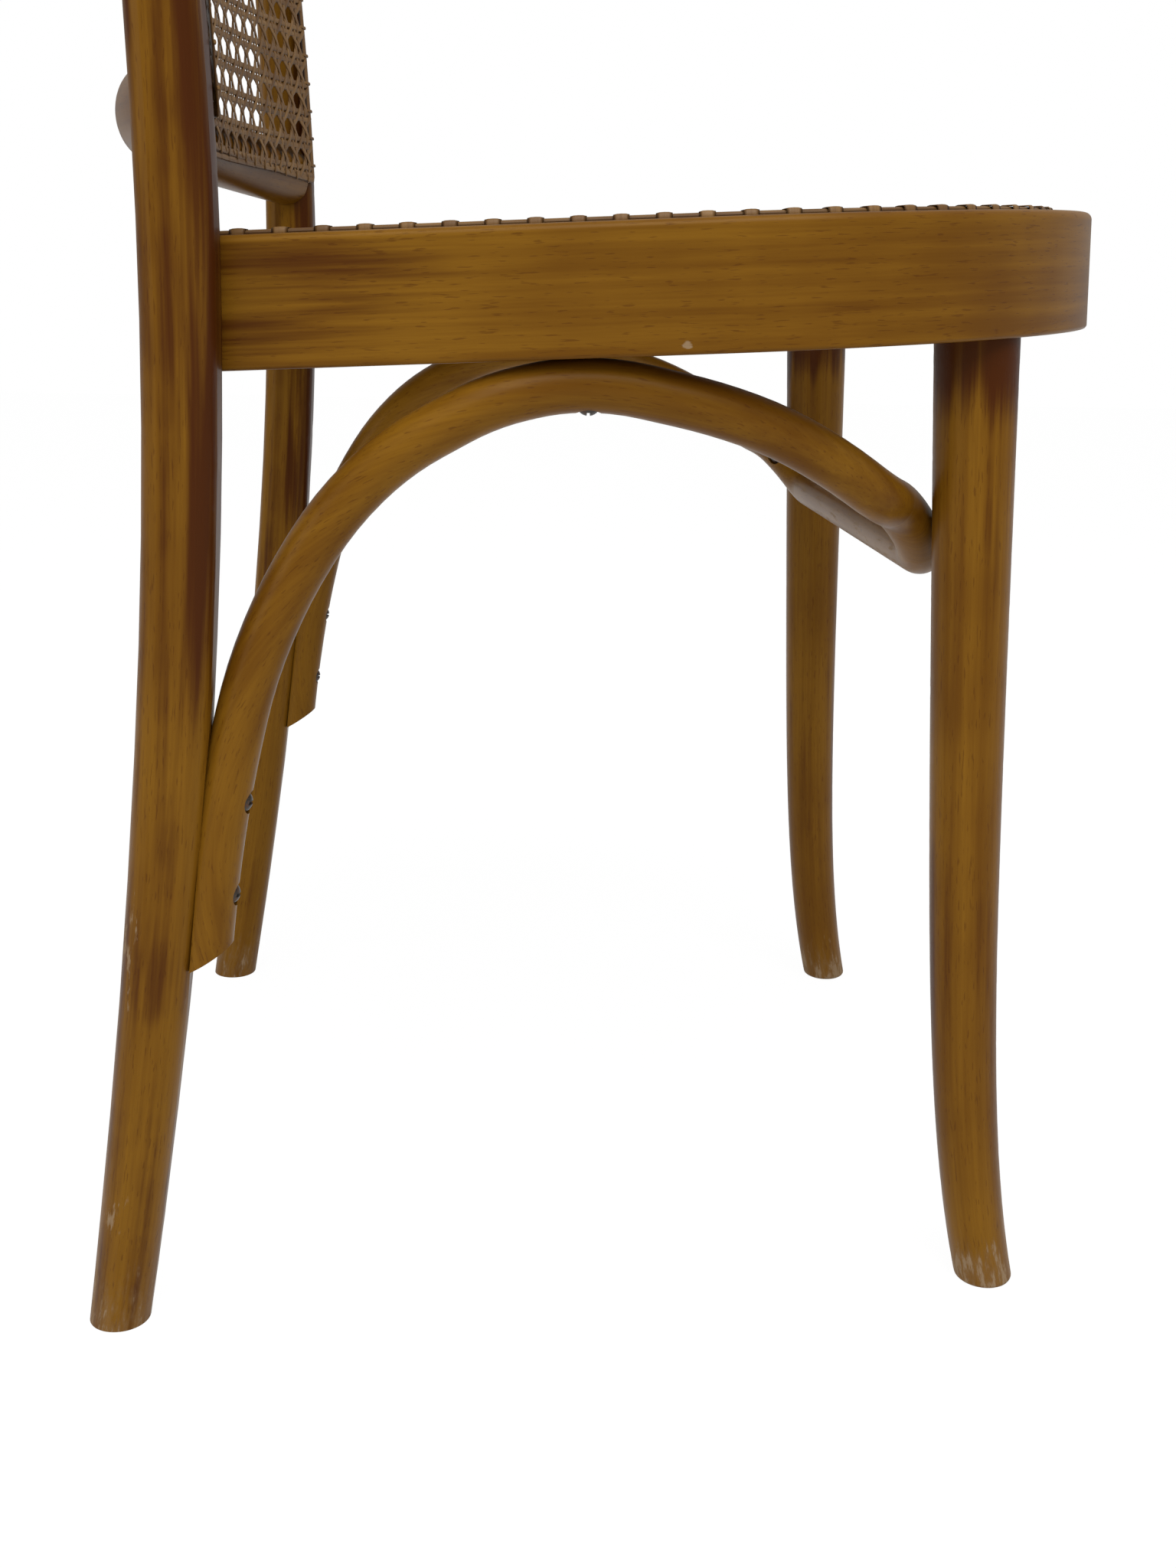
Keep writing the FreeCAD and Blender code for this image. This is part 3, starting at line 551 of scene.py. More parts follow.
def varnished_beech_group():
    """Beech under an old amber varnish.

    Grain is a vector whose X and Y cross the fibres and whose Z runs along them. Tone noise gives
    slow changes of colour, streaks follow the fibres, flecks are short and dark. Dark is a mask for
    grime and painted shade, Scuff and Bare are masks for pale rubbed marks and wood without varnish.
    """
    tree, g, given, out = new_group(
        "Varnished beech",
        [("Grain", "vector"), ("Place", "vector"), ("Amber", "colour"), ("Brown", "colour"),
         ("Grime", "colour"), ("Pale", "colour"), ("Dark", "value", 0.0), ("Scuff", "value", 0.0),
         ("Bare", "value", 0.0)],
        [("Colour", "colour"), ("Roughness", "value"), ("Height", "value")])
    grain = given["Grain"]
    place = given["Place"]
    tone = g.noise(place, 9.0, 3.0, 0.55)
    streak = g.noise(g.scaled(grain, (150, 150, 4.5)), 1.0, 3.0, 0.6, 0.15)
    fibre = g.noise(g.scaled(grain, (900, 900, 24)), 1.0, 2.0, 0.6)
    fleck = g.noise(g.scaled(grain, (1500, 1500, 150)), 1.0, 1.0, 0.4)
    fleck = g.ramp(fleck, 0.63, 0.72)
    mixed = g.math("ADD", g.math("MULTIPLY", tone, 0.55), g.math("MULTIPLY", streak, 0.45))
    colour = g.mix(g.ramp(mixed, 0.38, 0.66), given["Amber"], given["Brown"])
    colour = g.mix(g.ramp(fibre, 0.35, 0.75, 0.0, 0.30), colour, given["Brown"])
    colour = g.mix(g.math("MULTIPLY", fleck, 0.40), colour, given["Grime"])
    # the Dark mask blends towards the dark reddish colour: real grime on some pieces, painted shade on the
    # ring and the tops of the legs
    dark_edge = g.math("ADD", given["Dark"], g.math("MULTIPLY", g.math("SUBTRACT", streak, 0.5), 1.6))
    dark = g.math("MULTIPLY", g.ramp(dark_edge, 0.25, 0.85), g.ramp(given["Dark"], 0.0, 0.3))
    colour = g.mix(dark, colour, given["Grime"])
    patch = g.noise(g.scaled(grain, (260, 260, 60)), 1.0, 4.0, 0.7)
    scuff_edge = g.math("ADD", given["Scuff"], g.math("MULTIPLY", g.math("SUBTRACT", patch, 0.5), 2.2))
    scuff = g.math("MULTIPLY", g.ramp(scuff_edge, 0.55, 0.80), g.ramp(given["Scuff"], 0.0, 0.2))
    bare_edge = g.math("ADD", given["Bare"], g.math("MULTIPLY", g.math("SUBTRACT", patch, 0.5), 1.3))
    bare = g.math("MULTIPLY", g.ramp(bare_edge, 0.35, 0.9), g.ramp(given["Bare"], 0.0, 0.25))
    colour = g.mix(g.math("MULTIPLY", bare, 0.75), colour, g.mix(0.5, given["Pale"], given["Brown"]))
    colour = g.mix(g.math("MULTIPLY", scuff, 0.8), colour, given["Pale"])
    g.feed(out["Colour"], colour)
    rough = g.math("ADD", 0.30, g.math("MULTIPLY", tone, 0.16))
    rough = g.math("ADD", rough, g.math("MULTIPLY", g.math("MAXIMUM", scuff, bare), 0.32))
    g.feed(out["Roughness"], rough)
    height = g.math("ADD", g.math("MULTIPLY", fibre, 0.25), g.math("MULTIPLY", streak, 0.4))
    height = g.math("SUBTRACT", height, g.math("MULTIPLY", fleck, 0.35))
    height = g.math("SUBTRACT", height, g.math("MULTIPLY", g.math("MAXIMUM", scuff, bare), patch))
    g.feed(out["Height"], height)
    return tree


def spot(g, place, centre, size, stretch=(1, 1, 1)):
    """Soft round mark: 1 at a point, falling smoothly to 0 at a distance."""
    node = g.add("ShaderNodeVectorMath", operation="SUBTRACT")
    g.feed(node.inputs[0], place)
    node.inputs[1].default_value = centre
    away = g.scaled(node.outputs[0], stretch)
    length = g.add("ShaderNodeVectorMath", operation="LENGTH")
    g.feed(length.inputs[0], away)
    return g.ramp(length.outputs["Value"], 0.0, size, 1.0, 0.0)


def most(g, marks):
    """The largest of several masks at each point."""
    total = marks[0]
    for mark in marks[1:]:
        total = g.math("MAXIMUM", total, mark)
    return total


def ring_grain(g, place):
    """Grain round the ring: X is the height, Y the distance from its rounded plan, Z the way round."""
    x, y, z = g.split(place)
    corner_x, corner_y = ring_centres()[2]
    q = g.math("MAXIMUM", g.math("SUBTRACT", g.math("ABSOLUTE", x), corner_x), 0.0)
    w = g.math("MAXIMUM", g.math("SUBTRACT", corner_y, y), 0.0)
    away = g.math("SQRT", g.math("ADD", g.math("MULTIPLY", q, q), g.math("MULTIPLY", w, w)))
    taper = g.math("MULTIPLY", g.math("MAXIMUM", g.math("SUBTRACT", y, corner_y), 0.0), 0.095)
    away = g.math("ADD", away, taper)
    bearing = g.math("ARCTAN2", w, g.math("ADD", q, 0.001))
    round_way = g.math("ADD", g.math("MULTIPLY", bearing, RING_CORNER_RADIUS),
                       g.math("MULTIPLY", g.math("MAXIMUM", g.math("SUBTRACT", y, corner_y), 0.0), -1.0))
    level = g.math("ADD", z, g.math("MULTIPLY", y, SEAT_DROP))
    side = g.math("SIGN", x)
    return g.join(level, away, g.math("ADD", round_way, g.math("MULTIPLY", side, SIDE_SHIFT)))


def hoop_grain(g, place):
    """Grain up the posts and over the crest: X is the distance from a rounded rectangle, Z the way along."""
    x, y, z = g.split(place)
    corner_z = HOOP_HEIGHT - CREST_RADIUS
    radius = CREST_RADIUS - 0.5 * POST_WIDTH
    corner_x = POST_TOP_X - radius
    q = g.math("MAXIMUM", g.math("SUBTRACT", g.math("ABSOLUTE", x), corner_x), 0.0)
    w = g.math("MAXIMUM", g.math("SUBTRACT", z, corner_z), 0.0)
    away = g.math("SQRT", g.math("ADD", g.math("MULTIPLY", q, q), g.math("MULTIPLY", w, w)))
    turn = g.math("MULTIPLY", g.math("ARCTAN2", w, g.math("ADD", q, 0.001)), radius)
    over = g.math("SUBTRACT", corner_x, g.math("MINIMUM", g.math("ABSOLUTE", x), corner_x))
    along = g.math("ADD", g.math("ADD", g.math("MINIMUM", z, corner_z), turn), over)
    below = g.math("MAXIMUM", g.math("DIVIDE", g.math("SUBTRACT", WAIST_HEIGHT, z), WAIST_HEIGHT), 0.0)
    splay = g.math("MULTIPLY", g.math("POWER", below, GRAIN_SPLAY_POWER), FOOT_SPLAY)
    back = g.math("SUBTRACT", y, splay)
    lean = g.math("ADD", g.math("MULTIPLY", z, -0.016), away)
    side = g.math("MULTIPLY", g.math("SIGN", x), SIDE_SHIFT)
    return g.join(lean, back, g.math("ADD", along, side))


def leg_grain(g, place):
    """Grain down a front leg: Y follows its rake and the kick of its foot, X its splay."""
    x, y, z = g.split(place)
    drop = g.math("DIVIDE", g.math("SUBTRACT", LEG_TOP_Z, z), LEG_TOP_Z)
    kick = g.math("MULTIPLY", g.math("POWER", g.math("MAXIMUM", drop, 0.0), 6.0), LEG_KICK)
    bend = g.math("ADD", kick, g.math("MULTIPLY", drop, LEG_RAKE))
    across = g.math("SUBTRACT", g.math("ABSOLUTE", x), g.math("MULTIPLY", drop, LEG_FOOT_X - LEG_TOP_X))
    side = g.math("MULTIPLY", g.math("SIGN", x), SIDE_SHIFT)
    return g.join(across, g.math("ADD", y, bend), g.math("ADD", z, side))


def rail_grain(g, place):
    """Grain along the bowed rail: Y and Z are straightened by the rail's parabolas, X runs along it."""
    x, y, z = g.split(place)
    square = g.math("MULTIPLY", x, x)
    bow = g.math("MULTIPLY", square, CREST_BOW / RAIL_HALF_BOW ** 2)
    arch = g.math("MULTIPLY", square, RAIL_ARCH / POST_SEAT_X ** 2)
    return g.join(g.math("ADD", y, bow), g.math("ADD", z, arch), x)


def brace_grain(g, place):
    """Grain round the arches in side view, and straight along the cross part between the front legs."""
    x, y, z = g.split(place)
    rise = g.math("SUBTRACT", z, ARCH_CENTRE_Z)
    back = g.math("SUBTRACT", y, ARCH_CENTRE_Y)
    away = g.math("SQRT", g.math("ADD", g.math("MULTIPLY", rise, rise), g.math("MULTIPLY", back, back)))
    turn = g.math("MULTIPLY", g.math("ARCTAN2", back, rise), ARCH_RADIUS)
    side = g.math("MULTIPLY", g.math("SIGN", x), SIDE_SHIFT)
    arch = g.join(away, x, g.math("ADD", turn, side))
    cross = g.join(y, z, x)
    share = g.ramp(g.math("ABSOLUTE", x), 0.135, 0.155)
    node = g.add("ShaderNodeMix", data_type="VECTOR")
    g.feed(node.inputs[0], share)
    g.feed(node.inputs[4], cross)
    g.feed(node.inputs[5], arch)
    return node.outputs[1]


def near_floor(g, place, height):
    """1 at the floor, falling to 0 at a height."""
    z = g.split(place)[2]
    return g.ramp(z, 0.0, height, 1.0, 0.0)


def hoop_marks(g, place):
    """Reddish grime down the front of the posts, uneven old varnish, rubbed patches and worn feet."""
    _, y, z = g.split(place)
    below = g.math("MAXIMUM", g.math("DIVIDE", g.math("SUBTRACT", WAIST_HEIGHT, z), WAIST_HEIGHT), 0.0)
    splay = g.math("MULTIPLY", g.math("POWER", below, GRAIN_SPLAY_POWER), FOOT_SPLAY)
    middle = g.math("ADD", splay, WAIST_Y)
    front = g.math("SUBTRACT", middle, y)
    ragged = g.noise(g.scaled(place, (90, 90, 7)), 1.0, 3.0)
    ragged = g.math("MULTIPLY", g.math("SUBTRACT", ragged, 0.5), 0.022)
    streak = g.ramp(g.math("ADD", front, ragged), -0.008, 0.010)
    reach = g.math("MULTIPLY", g.ramp(z, 0.19, 0.34), g.ramp(z, 0.47, 0.62, 0.80, 0.70))
    old = g.ramp(g.noise(place, 14.0, 3.0, 0.6), 0.35, 0.65, 0.12, 0.46)
    dark = most(g, [g.math("MULTIPLY", streak, reach), old])
    low = near_floor(g, place, 0.070)
    rub = most(g, [
        g.math("MULTIPLY", spot(g, place, (-0.205, 0.188, 0.178), 0.022, (1, 1.6, 0.5)), 0.7),
        g.math("MULTIPLY", spot(g, place, (-0.203, 0.205, 0.055), 0.022, (1, 1, 0.8)), 0.6),
        g.math("MULTIPLY", low, 0.48),
    ])
    return dark, rub, g.math("MULTIPLY", low, 0.6)


def leg_marks(g, place):
    """Painted shadow of the ring across the top of the leg, uneven old varnish, and rubbed, bare wood at the
    foot.
    """
    low = near_floor(g, place, 0.050)
    height = g.math("ADD", g.split(place)[2], g.math("MULTIPLY", g.noise(place, 30.0, 2.0), 0.02))
    # painted shadow: the top of the leg, just under the ring, is darkened
    ring_shadow = g.math("MULTIPLY", g.ramp(height, 0.366, 0.412), 0.86)
    old = g.ramp(g.noise(place, 11.0, 3.0, 0.6), 0.4, 0.7, 0.05, 0.34)
    return most(g, [ring_shadow, old]), g.math("MULTIPLY", low, 0.62), g.math("MULTIPLY", low, 0.7)


def ring_marks(g, place):
    """Uneven old varnish, painted shade that darkens the ring to the rear and in soft patches near both
    ends, and three small filled holes.
    """
    outer = -RING_HALF_WIDTH
    # painted shade: the ramp darkens the ring towards the rear, two soft patches darken it by the posts and
    # one where its front end turns away from the light; the noise is uneven old varnish
    dark = most(g, [
        g.ramp(g.noise(g.scaled(place, (1, 0.6, 1.6)), 16.0, 3.0, 0.6), 0.42, 0.72, 0.0, 0.40),
        g.ramp(g.split(place)[1], 0.03, 0.14, 0.0, 0.42),
        g.math("MULTIPLY", spot(g, place, (-0.200, 0.105, 0.425), 0.050, (1, 0.55, 1.5)), 0.55),
        g.math("MULTIPLY", spot(g, place, (-0.200, 0.155, 0.415), 0.040, (1, 0.8, 0.8)), 0.60),
        g.math("MULTIPLY", spot(g, place, (-0.172, -0.135, 0.440), 0.024, (1, 0.7, 1.6)), 0.60),
    ])
    scuff = most(g, [
        spot(g, place, (-0.203, 0.108, 0.404), 0.0045),
        spot(g, place, (outer, -0.025, 0.406), 0.0045),
        spot(g, place, (outer, 0.004, 0.446), 0.0035),
    ])
    return dark, scuff, 0.0


def brace_marks(g, place):
    """Rubbed varnish along the cross part, where heels rest."""
    x = g.split(place)[0]
    rub = g.ramp(g.math("ABSOLUTE", x), 0.10, 0.165, 0.42, 0.0)
    return 0.0, rub, 0.0


def rail_marks(g, place):
    """Even grime and a little rubbing on the rail, which is duller than the rest."""
    return 0.18, 0.22, 0.0


def beech(name, tree, grain, marks, finish):
    """Varnished beech for one piece, with its own grain direction and its own marks."""
    material = bpy.data.materials.new(name)
    material.use_nodes = True
    g = Graph(material.node_tree)
    place = g.place()
    dark, scuff, bare = marks(g, place)
    wood = g.group(tree, Grain=grain(g, place), Place=place, Amber=finish.amber, Brown=finish.brown,
                   Grime=finish.grime, Pale=finish.pale, Dark=dark, Scuff=scuff, Bare=bare)
    shader = g.add("ShaderNodeBsdfPrincipled")
    g.feed(shader.inputs["Base Color"], wood["Colour"])
    g.feed(shader.inputs["Roughness"], wood["Roughness"])
    shader.inputs["Specular IOR Level"].default_value = 0.12
    shader.inputs["Specular Tint"].default_value = (1.0, 0.75, 0.45, 1)
    shader.inputs["Coat Weight"].default_value = 0.04
    shader.inputs["Coat Roughness"].default_value = 0.25
    bump = g.add("ShaderNodeBump")
    bump.inputs["Strength"].default_value = 0.25
    bump.inputs["Distance"].default_value = 0.35 * MM
    g.feed(bump.inputs["Height"], wood["Height"])
    g.feed(shader.inputs["Normal"], bump.outputs[0])
    g.feed(g.add("ShaderNodeOutputMaterial").inputs[0], shader.outputs[0])
    return material


def cane_group():
    """Split cane: a hard skin with fine lines along the strand, slow changes of tone, darker joints and
    painted shade towards the strand's edges.
    """
    tree, g, given, out = new_group(
        "Split cane", [("Strand", "vector"), ("Light", "colour"), ("Deep", "colour")],
        [("Colour", "colour"), ("Roughness", "value"), ("Height", "value")])
    across, along, number = g.split(given["Strand"])
    seed = g.math("MULTIPLY", number, 3.7)
    slow = g.noise(g.join(seed, g.math("MULTIPLY", along, 16.0), 0.0), 1.0, 2.0)
    fine = g.noise(g.join(g.math("MULTIPLY", across, 7.0), g.math("MULTIPLY", along, 60.0), seed), 1.0, 2.0)
    joint = g.noise(g.join(seed, g.math("MULTIPLY", along, 9.0), 7.0), 1.0, 0.0)
    joint = g.ramp(joint, 0.70, 0.74)
    # painted shade: each strand darkens towards its edges
    edge = g.ramp(g.math("ABSOLUTE", g.math("SUBTRACT", across, 0.5)), 0.22, 0.5)
    colour = g.mix(g.ramp(slow, 0.3, 0.7), given["Light"], given["Deep"])
    colour = g.mix(g.math("MULTIPLY", g.ramp(fine, 0.45, 0.7), 0.5), colour, given["Deep"])
    joint_and_edge_shade = g.math("MULTIPLY", g.math("MAXIMUM", joint, edge), 0.55)
    colour = g.mix(joint_and_edge_shade, colour, g.mix(1.0, given["Deep"], (0.45, 0.40, 0.35), "MULTIPLY"))
    g.feed(out["Colour"], colour)
    g.feed(out["Roughness"], g.math("ADD", 0.40, g.math("MULTIPLY", fine, 0.2)))
    g.feed(out["Height"], g.math("SUBTRACT", g.math("MULTIPLY", fine, 0.5), joint))
    return tree


def cane_material(name, tree, light, deep):
    material = bpy.data.materials.new(name)
    material.use_nodes = True
    g = Graph(material.node_tree)
    skin = g.group(tree, Strand=g.attribute("strand"), Light=light, Deep=deep)
    shader = g.add("ShaderNodeBsdfPrincipled")
    g.feed(shader.inputs["Base Color"], skin["Colour"])
    g.feed(shader.inputs["Roughness"], skin["Roughness"])
    shader.inputs["Specular IOR Level"].default_value = 0.25
    bump = g.add("ShaderNodeBump")
    bump.inputs["Strength"].default_value = 0.3
    bump.inputs["Distance"].default_value = 0.2 * MM
    g.feed(bump.inputs["Height"], skin["Height"])
    g.feed(shader.inputs["Normal"], bump.outputs[0])
    g.feed(g.add("ShaderNodeOutputMaterial").inputs[0], shader.outputs[0])
    return material


def screw_material(name, steel, rust):
    """Old steel screw: blackened, with brown rust in patches."""
    material = bpy.data.materials.new(name)
    material.use_nodes = True
    g = Graph(material.node_tree)
    patch = g.noise(g.place(), 420.0, 3.0, 0.6)
    shader = g.add("ShaderNodeBsdfPrincipled")
    g.feed(shader.inputs["Base Color"], g.mix(g.ramp(patch, 0.45, 0.62), steel, rust))
    g.feed(shader.inputs["Metallic"], g.ramp(patch, 0.45, 0.62, 0.9, 0.15))
    g.feed(shader.inputs["Roughness"], g.ramp(patch, 0.4, 0.7, 0.38, 0.75))
    bump = g.add("ShaderNodeBump")
    bump.inputs["Strength"].default_value = 0.3
    bump.inputs["Distance"].default_value = 0.2 * MM
    g.feed(bump.inputs["Height"], patch)
    g.feed(shader.inputs["Normal"], bump.outputs[0])
    g.feed(g.add("ShaderNodeOutputMaterial").inputs[0], shader.outputs[0])
    return material


def stage_material(name, colour, camera_share):
    """Pale matt surface that the camera, and what it is mirrored in, see mostly as plain white."""
    material = bpy.data.materials.new(name)
    material.use_nodes = True
    g = Graph(material.node_tree)
    shader = g.add("ShaderNodeBsdfPrincipled")
    shader.inputs["Base Color"].default_value = (*colour, 1)
    shader.inputs["Roughness"].default_value = 0.9
    white = g.add("ShaderNodeEmission")
    white.inputs["Strength"].default_value = 1.035
    path = g.add("ShaderNodeLightPath").outputs
    seen = g.math("MAXIMUM", path["Is Camera Ray"],
                  g.math("MAXIMUM", path["Is Glossy Ray"], path["Is Transmission Ray"]))
    mixed = g.add("ShaderNodeMixShader")
    g.feed(mixed.inputs[0], g.math("MULTIPLY", seen, camera_share))
    g.feed(mixed.inputs[1], shader.outputs[0])
    g.feed(mixed.inputs[2], white.outputs[0])
    g.feed(g.add("ShaderNodeOutputMaterial").inputs[0], mixed.outputs[0])
    return material


def set_material(node, material):
    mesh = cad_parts[node].data
    if not mesh.materials:
        mesh.materials.append(material)
    for index in range(len(mesh.materials)):
        mesh.materials[index] = material


def shared_group(name, make):
    return bpy.data.node_groups.get(name) or make()


# Settings

def colour_setting(name, description, default):
    return FloatVectorProperty(name=name, description=description, subtype="COLOR", size=3, min=0, max=1,
                               default=default)


def length_setting(name, description, default):
    return FloatProperty(name=name, description=description, default=default, min=0, unit="LENGTH")


class ChairFinish(bpy.types.PropertyGroup):
    """Colours of the wood, the cane and the screws."""
    amber: colour_setting("Amber", "Light tone of the varnished beech", (0.185, 0.082, 0.0060))
    brown: colour_setting("Brown", "Deeper tone of the varnished beech", (0.110, 0.041, 0.0025))
    # grime is also the colour of the painted shade on the seat ring and at the tops of the front legs
    grime: colour_setting("Grime", "Dark reddish grime in the grain", (0.052, 0.0120, 0.0015))
    pale: colour_setting("Pale", "Rubbed and scuffed wood", (0.26, 0.18, 0.105))
    cane_light: colour_setting("Cane light", "Light tone of the cane's skin", (0.235, 0.128, 0.040))
    cane_deep: colour_setting("Cane deep", "Deeper tone of the cane's skin", (0.115, 0.054, 0.015))
    steel: colour_setting("Steel", "Blackened steel of the screws", (0.060, 0.052, 0.045))
    rust: colour_setting("Rust", "Rust on the screws", (0.075, 0.032, 0.014))


class SeatCaneSizes(bpy.types.PropertyGroup):
    """Sizes of the seat's weave and its binder."""
    pitch: length_setting("Pitch", "Distance between holes", 15.4 * MM)
    strand_width: length_setting("Strand width", "Width of one strand", 2.3 * MM)
    strand_thickness: length_setting("Strand thickness", "Thickness of one strand", 0.55 * MM)
    pair_spacing: length_setting("Pair spacing", "Distance between the two strands of a pair", 2.9 * MM)
    weave_rise: length_setting("Weave rise", "Rise and fall of the pairs", 0.33 * MM)
    diagonal_rise: length_setting("Diagonal rise", "Rise and fall of the diagonals", 0.5 * MM)
    base_lift: length_setting("Base lift", "Height of the weave above the wood", 0.65 * MM)
    binder_lift: length_setting("Binder lift", "Height of the binder above the wood", 0.1 * MM)
    binder_width: length_setting("Binder width", "Width of the strip over the holes", 5.4 * MM)
    binder_thickness: length_setting("Binder thickness", "Thickness of that strip", 1.9 * MM)
    loop_width: length_setting("Loop width", "Width of the loops that hold the binder", 6.0 * MM)


class BackCaneSizes(bpy.types.PropertyGroup):
    """Sizes of the back's weave and its binder."""
    pitch: length_setting("Pitch", "Distance between holes", 14.5 * MM)
    strand_width: length_setting("Strand width", "Width of one strand", 2.9 * MM)
    strand_thickness: length_setting("Strand thickness", "Thickness of one strand", 0.45 * MM)
    pair_spacing: length_setting("Pair spacing", "Distance between the two strands of a pair", 3.6 * MM)
    weave_rise: length_setting("Weave rise", "Rise and fall of the pairs", 0.26 * MM)
    diagonal_rise: length_setting("Diagonal rise", "Rise and fall of the diagonals", 0.4 * MM)
    base_lift: length_setting("Base lift", "Height of the weave in front of the wood", 0.4 * MM)
    binder_lift: length_setting("Binder lift", "Height of the binder in front of the wood", 0.1 * MM)
    binder_width: length_setting("Binder width", "Width of the strip over the holes", 4.0 * MM)
    binder_thickness: length_setting("Binder thickness", "Thickness of that strip", 0.8 * MM)
    loop_width: length_setting("Loop width", "Width of the loops that hold the binder", 1.6 * MM)


class StageSettings(bpy.types.PropertyGroup):
    """Floor, world and lamps."""
    floor_size: length_setting("Floor size", "Side of the square floor", 12.0)
    world_strength: FloatProperty(name="World", description="Strength of the even light", default=0.55,
                                  min=0)
    key_power: FloatProperty(name="Key lamp", description="Power of the overhead lamp", default=55.0, min=0,
                             unit="POWER")
    side_power: FloatProperty(name="Side lamp", description="Power of the lamp behind the near side",
                              default=9.0, min=0, unit="POWER")


# Operators

class CHAIR_OT_wood(bpy.types.Operator):
    """Give each bent and turned piece its varnished beech"""
    bl_idname = "chair.wood"
    bl_label = "Wood"

    def execute(self, context):
        finish = context.scene.chair_finish
        tree = shared_group("Varnished beech", varnished_beech_group)
        plan = (
            ("back_hoop", "Beech of the back hoop", hoop_grain, hoop_marks),
            ("seat_ring", "Beech of the seat ring", ring_grain, ring_marks),
            ("brace_hoop", "Beech of the brace", brace_grain, brace_marks),
            ("lower_back_rail", "Beech of the lower rail", rail_grain, rail_marks),
        )
        for node, name, grain, marks in plan:
            set_material(node, beech(name, tree, grain, marks, finish))
        legs = beech("Beech of the front legs", tree, leg_grain, leg_marks, finish)
        for node in ("front_leg_left", "front_leg_right"):
            set_material(node, legs)
        return {"FINISHED"}


class CHAIR_OT_screws(bpy.types.Operator):
    """Give the screws their blackened and rusty steel"""
    bl_idname = "chair.screws"
    bl_label = "Screws"

    def execute(self, context):
        finish = context.scene.chair_finish
        steel = screw_material("Blackened steel", finish.steel, finish.rust)
        for node in ("brace_end_screws", "brace_arch_screws", "brace_leg_screws", "seat_screws"):
            set_material(node, steel)
        return {"FINISHED"}


def cane_for(context):
    name = "Cane skin"
    finish = context.scene.chair_finish
    tree = shared_group("Split cane", cane_group)
    return bpy.data.materials.get(name) or cane_material(name, tree, finish.cane_light, finish.cane_deep)


class CHAIR_OT_seat_cane(bpy.types.Operator):
    """Weave the seat and lay its binder over the holes"""
    bl_idname = "chair.seat_cane"
    bl_label = "Seat cane"

    def execute(self, context):
        sizes = context.scene.seat_cane_sizes
        skin = cane_for(context)
        middle = (0, 0.5 * (RING_FRONT_Y + RING_REAR_Y))
        base = sizes.base_lift
        weave("seat_weave", on_seat, ring_inset, SEAT_LINE, middle, WEAVE_REACH, "seat_cane", skin,
              base, sizes)
        line = ring_line(SEAT_LINE)
        lift = sizes.binder_lift
        binder("seat_binder", on_seat, line, "seat_cane_binder", skin, lift, sizes)
        lacing("seat_lacing", on_seat, line, skin, lift, sizes)
        return {"FINISHED"}


class CHAIR_OT_back_cane(bpy.types.Operator):
    """Weave the back and lay its binder over the holes"""
    bl_idname = "chair.back_cane"
    bl_label = "Back cane"

    def execute(self, context):
        sizes = context.scene.back_cane_sizes
        skin = cane_for(context)
        middle = (0, BACK_ROW_Z + BACK_ROWS_UP * sizes.pitch)
        base = sizes.base_lift
        weave("back_weave", on_back, back_inset, BACK_LINE, middle, WEAVE_REACH, "back_cane", skin,
              base, sizes)
        line = back_line(BACK_LINE)
        lift = sizes.binder_lift
        binder("back_binder", on_back, line, "back_cane_binder", skin, lift, sizes)
        lacing("back_lacing", on_back, line, skin, lift, sizes)
        return {"FINISHED"}


def area_lamp(name, place, target, size, power):
    lamp = bpy.data.lights.new(name, "AREA")
    lamp.shape = "SQUARE"
    lamp.size = size
    lamp.energy = power
    holder = bpy.data.objects.new(name, lamp)
    holder.location = place
    holder.rotation_euler = (Vector(target) - Vector(place)).to_track_quat("-Z", "Y").to_euler()
    bpy.context.scene.collection.objects.link(holder)
    return holder


def photograph_camera():
    """Camera from the yaw, pitch and roll of the photograph, looking along +X."""
    forward = Vector((math.cos(CAMERA_PITCH) * math.cos(CAMERA_YAW),
                      math.cos(CAMERA_PITCH) * math.sin(CAMERA_YAW), -math.sin(CAMERA_PITCH)))
    right = forward.cross(Vector((0, 0, 1))).normalized()
    up = right.cross(forward)
    right, up = (math.cos(CAMERA_ROLL) * right + math.sin(CAMERA_ROLL) * up,
                 math.cos(CAMERA_ROLL) * up - math.sin(CAMERA_ROLL) * right)
    camera = bpy.data.cameras.new("Camera")
    camera.sensor_width = 36
    camera.lens = FOCAL_PX / FRAME_HEIGHT_PX * camera.sensor_width
    camera.clip_start = 0.01
    holder = bpy.data.objects.new("Camera", camera)
    turn = Matrix((right, up, -forward)).transposed()
    holder.matrix_world = Matrix.Translation(CAMERA_PLACE) @ turn.to_4x4()
    bpy.context.scene.collection.objects.link(holder)
    return holder


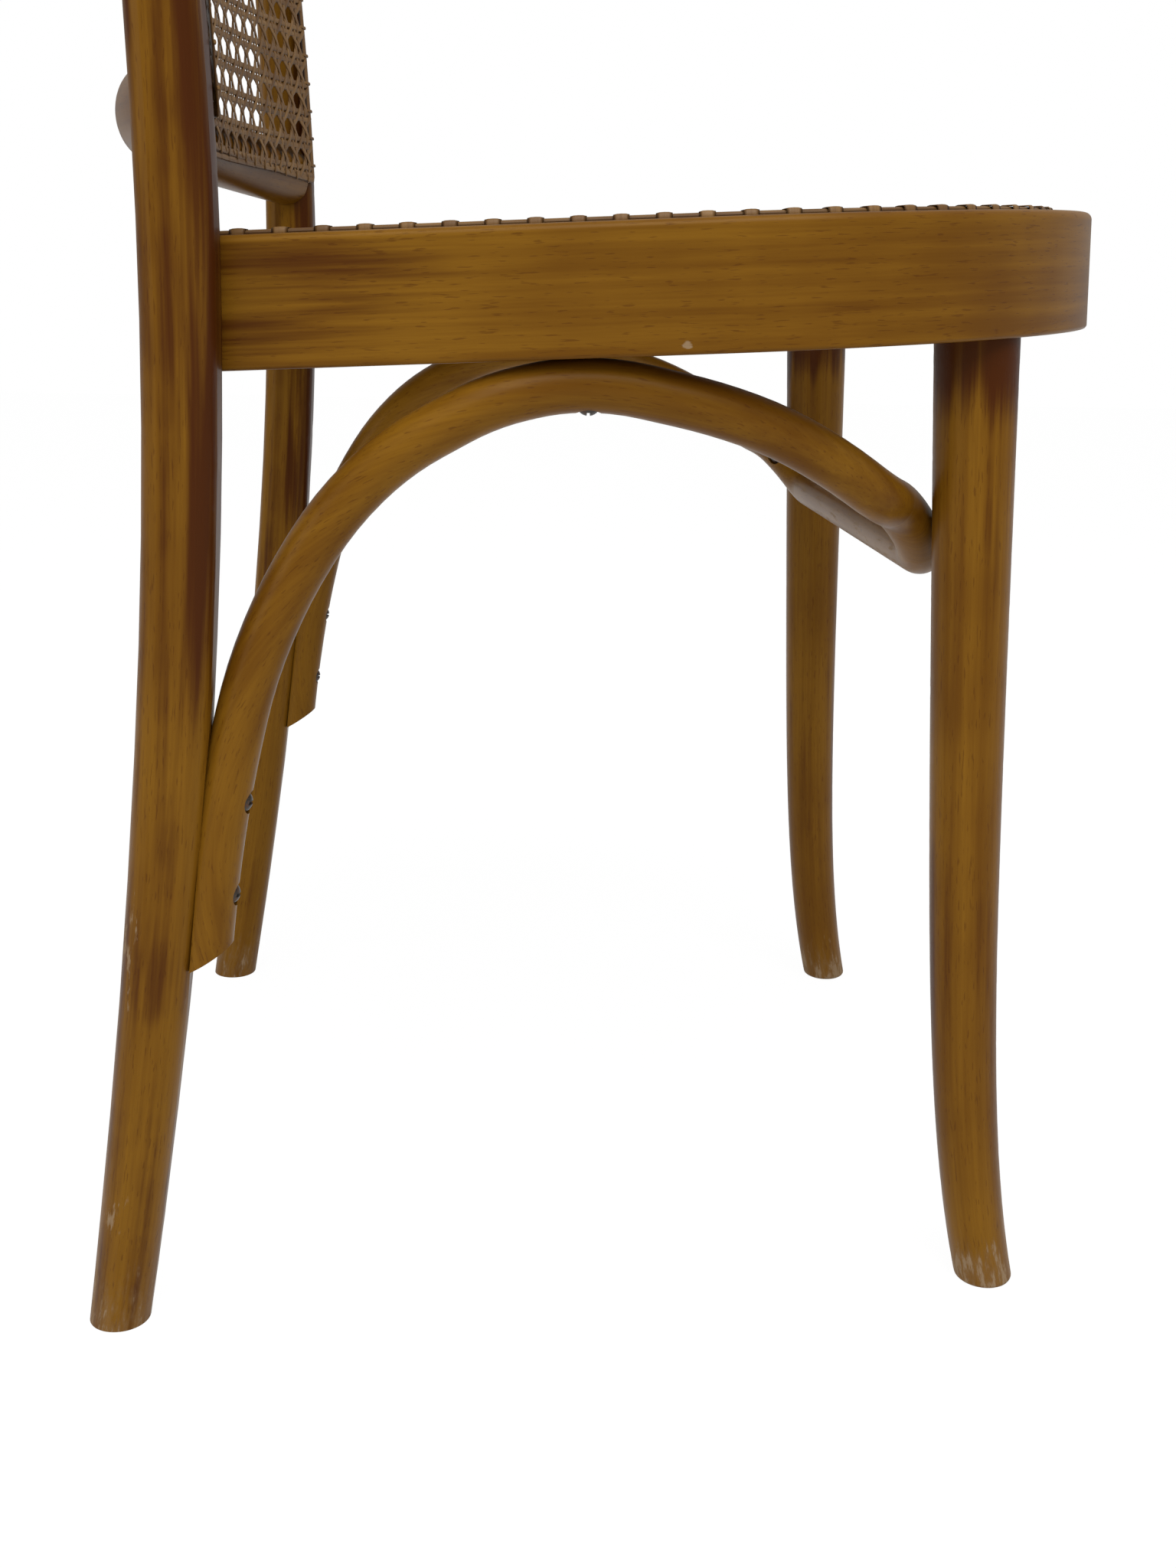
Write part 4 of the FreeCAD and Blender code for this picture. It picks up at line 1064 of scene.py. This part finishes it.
class CHAIR_OT_stage(bpy.types.Operator):
    """Make the floor, the world, the lamps and the camera"""
    bl_idname = "chair.stage"
    bl_label = "Stage"

    def execute(self, context):
        stage = context.scene.stage_settings
        scene = context.scene
        half = 0.5 * stage.floor_size
        mesh = bpy.data.meshes.new("Floor")
        mesh.from_pydata([(-half, -half, 0), (half, -half, 0), (half, half, 0), (-half, half, 0)], [],
                         [(0, 1, 2, 3)])
        mesh.materials.append(stage_material("Pale floor", (0.80, 0.80, 0.80), 0.93))
        floor = bpy.data.objects.new("Floor", mesh)
        scene.collection.objects.link(floor)
        world = bpy.data.worlds.new("Studio")
        world.use_nodes = True
        g = Graph(world.node_tree)
        path = g.add("ShaderNodeLightPath").outputs
        strength = g.ramp(path["Is Camera Ray"], 0.0, 1.0, stage.world_strength, 1.0, False)
        background = g.add("ShaderNodeBackground")
        background.inputs["Color"].default_value = (1, 1, 1, 1)
        g.feed(background.inputs["Strength"], strength)
        g.feed(g.add("ShaderNodeOutputWorld").inputs[0], background.outputs[0])
        scene.world = world
        area_lamp("Key", (-1.5, -0.2, 2.4), (0, 0, 0.4), 1.8, stage.key_power)
        area_lamp("Side", (-1.4, 2.2, 1.0), (0, 0, 0.4), 1.2, stage.side_power)
        scene.camera = photograph_camera()
        scene.view_settings.view_transform = "Standard"
        return {"FINISHED"}


class CHAIR_PT_sidebar(bpy.types.Panel):
    """Steps and settings of the chair"""
    bl_idname = "CHAIR_PT_sidebar"
    bl_label = "Caned chair"
    bl_space_type = "VIEW_3D"
    bl_region_type = "UI"
    bl_category = "Chair"

    def draw(self, context):
        for step in STEPS:
            self.layout.operator(step)
        for name, _ in SETTINGS:
            group = getattr(context.scene, name)
            box = self.layout.box()
            for key in group.__annotations__:
                box.prop(group, key)


STEPS = ("chair.wood", "chair.screws", "chair.seat_cane", "chair.back_cane", "chair.stage")
CLASSES = (ChairFinish, SeatCaneSizes, BackCaneSizes, StageSettings, CHAIR_OT_wood, CHAIR_OT_screws,
           CHAIR_OT_seat_cane, CHAIR_OT_back_cane, CHAIR_OT_stage, CHAIR_PT_sidebar)
SETTINGS = (("chair_finish", ChairFinish), ("seat_cane_sizes", SeatCaneSizes),
            ("back_cane_sizes", BackCaneSizes), ("stage_settings", StageSettings))


def register():
    for made in CLASSES:
        bpy.utils.register_class(made)
    for name, group in SETTINGS:
        setattr(bpy.types.Scene, name, PointerProperty(type=group))


def unregister():
    for name, _ in SETTINGS:
        delattr(bpy.types.Scene, name)
    for made in reversed(CLASSES):
        bpy.utils.unregister_class(made)


def main():
    register()
    for step in STEPS:
        area, name = step.split(".")
        getattr(getattr(bpy.ops, area), name)()


if __name__ == "__main__":
    main()
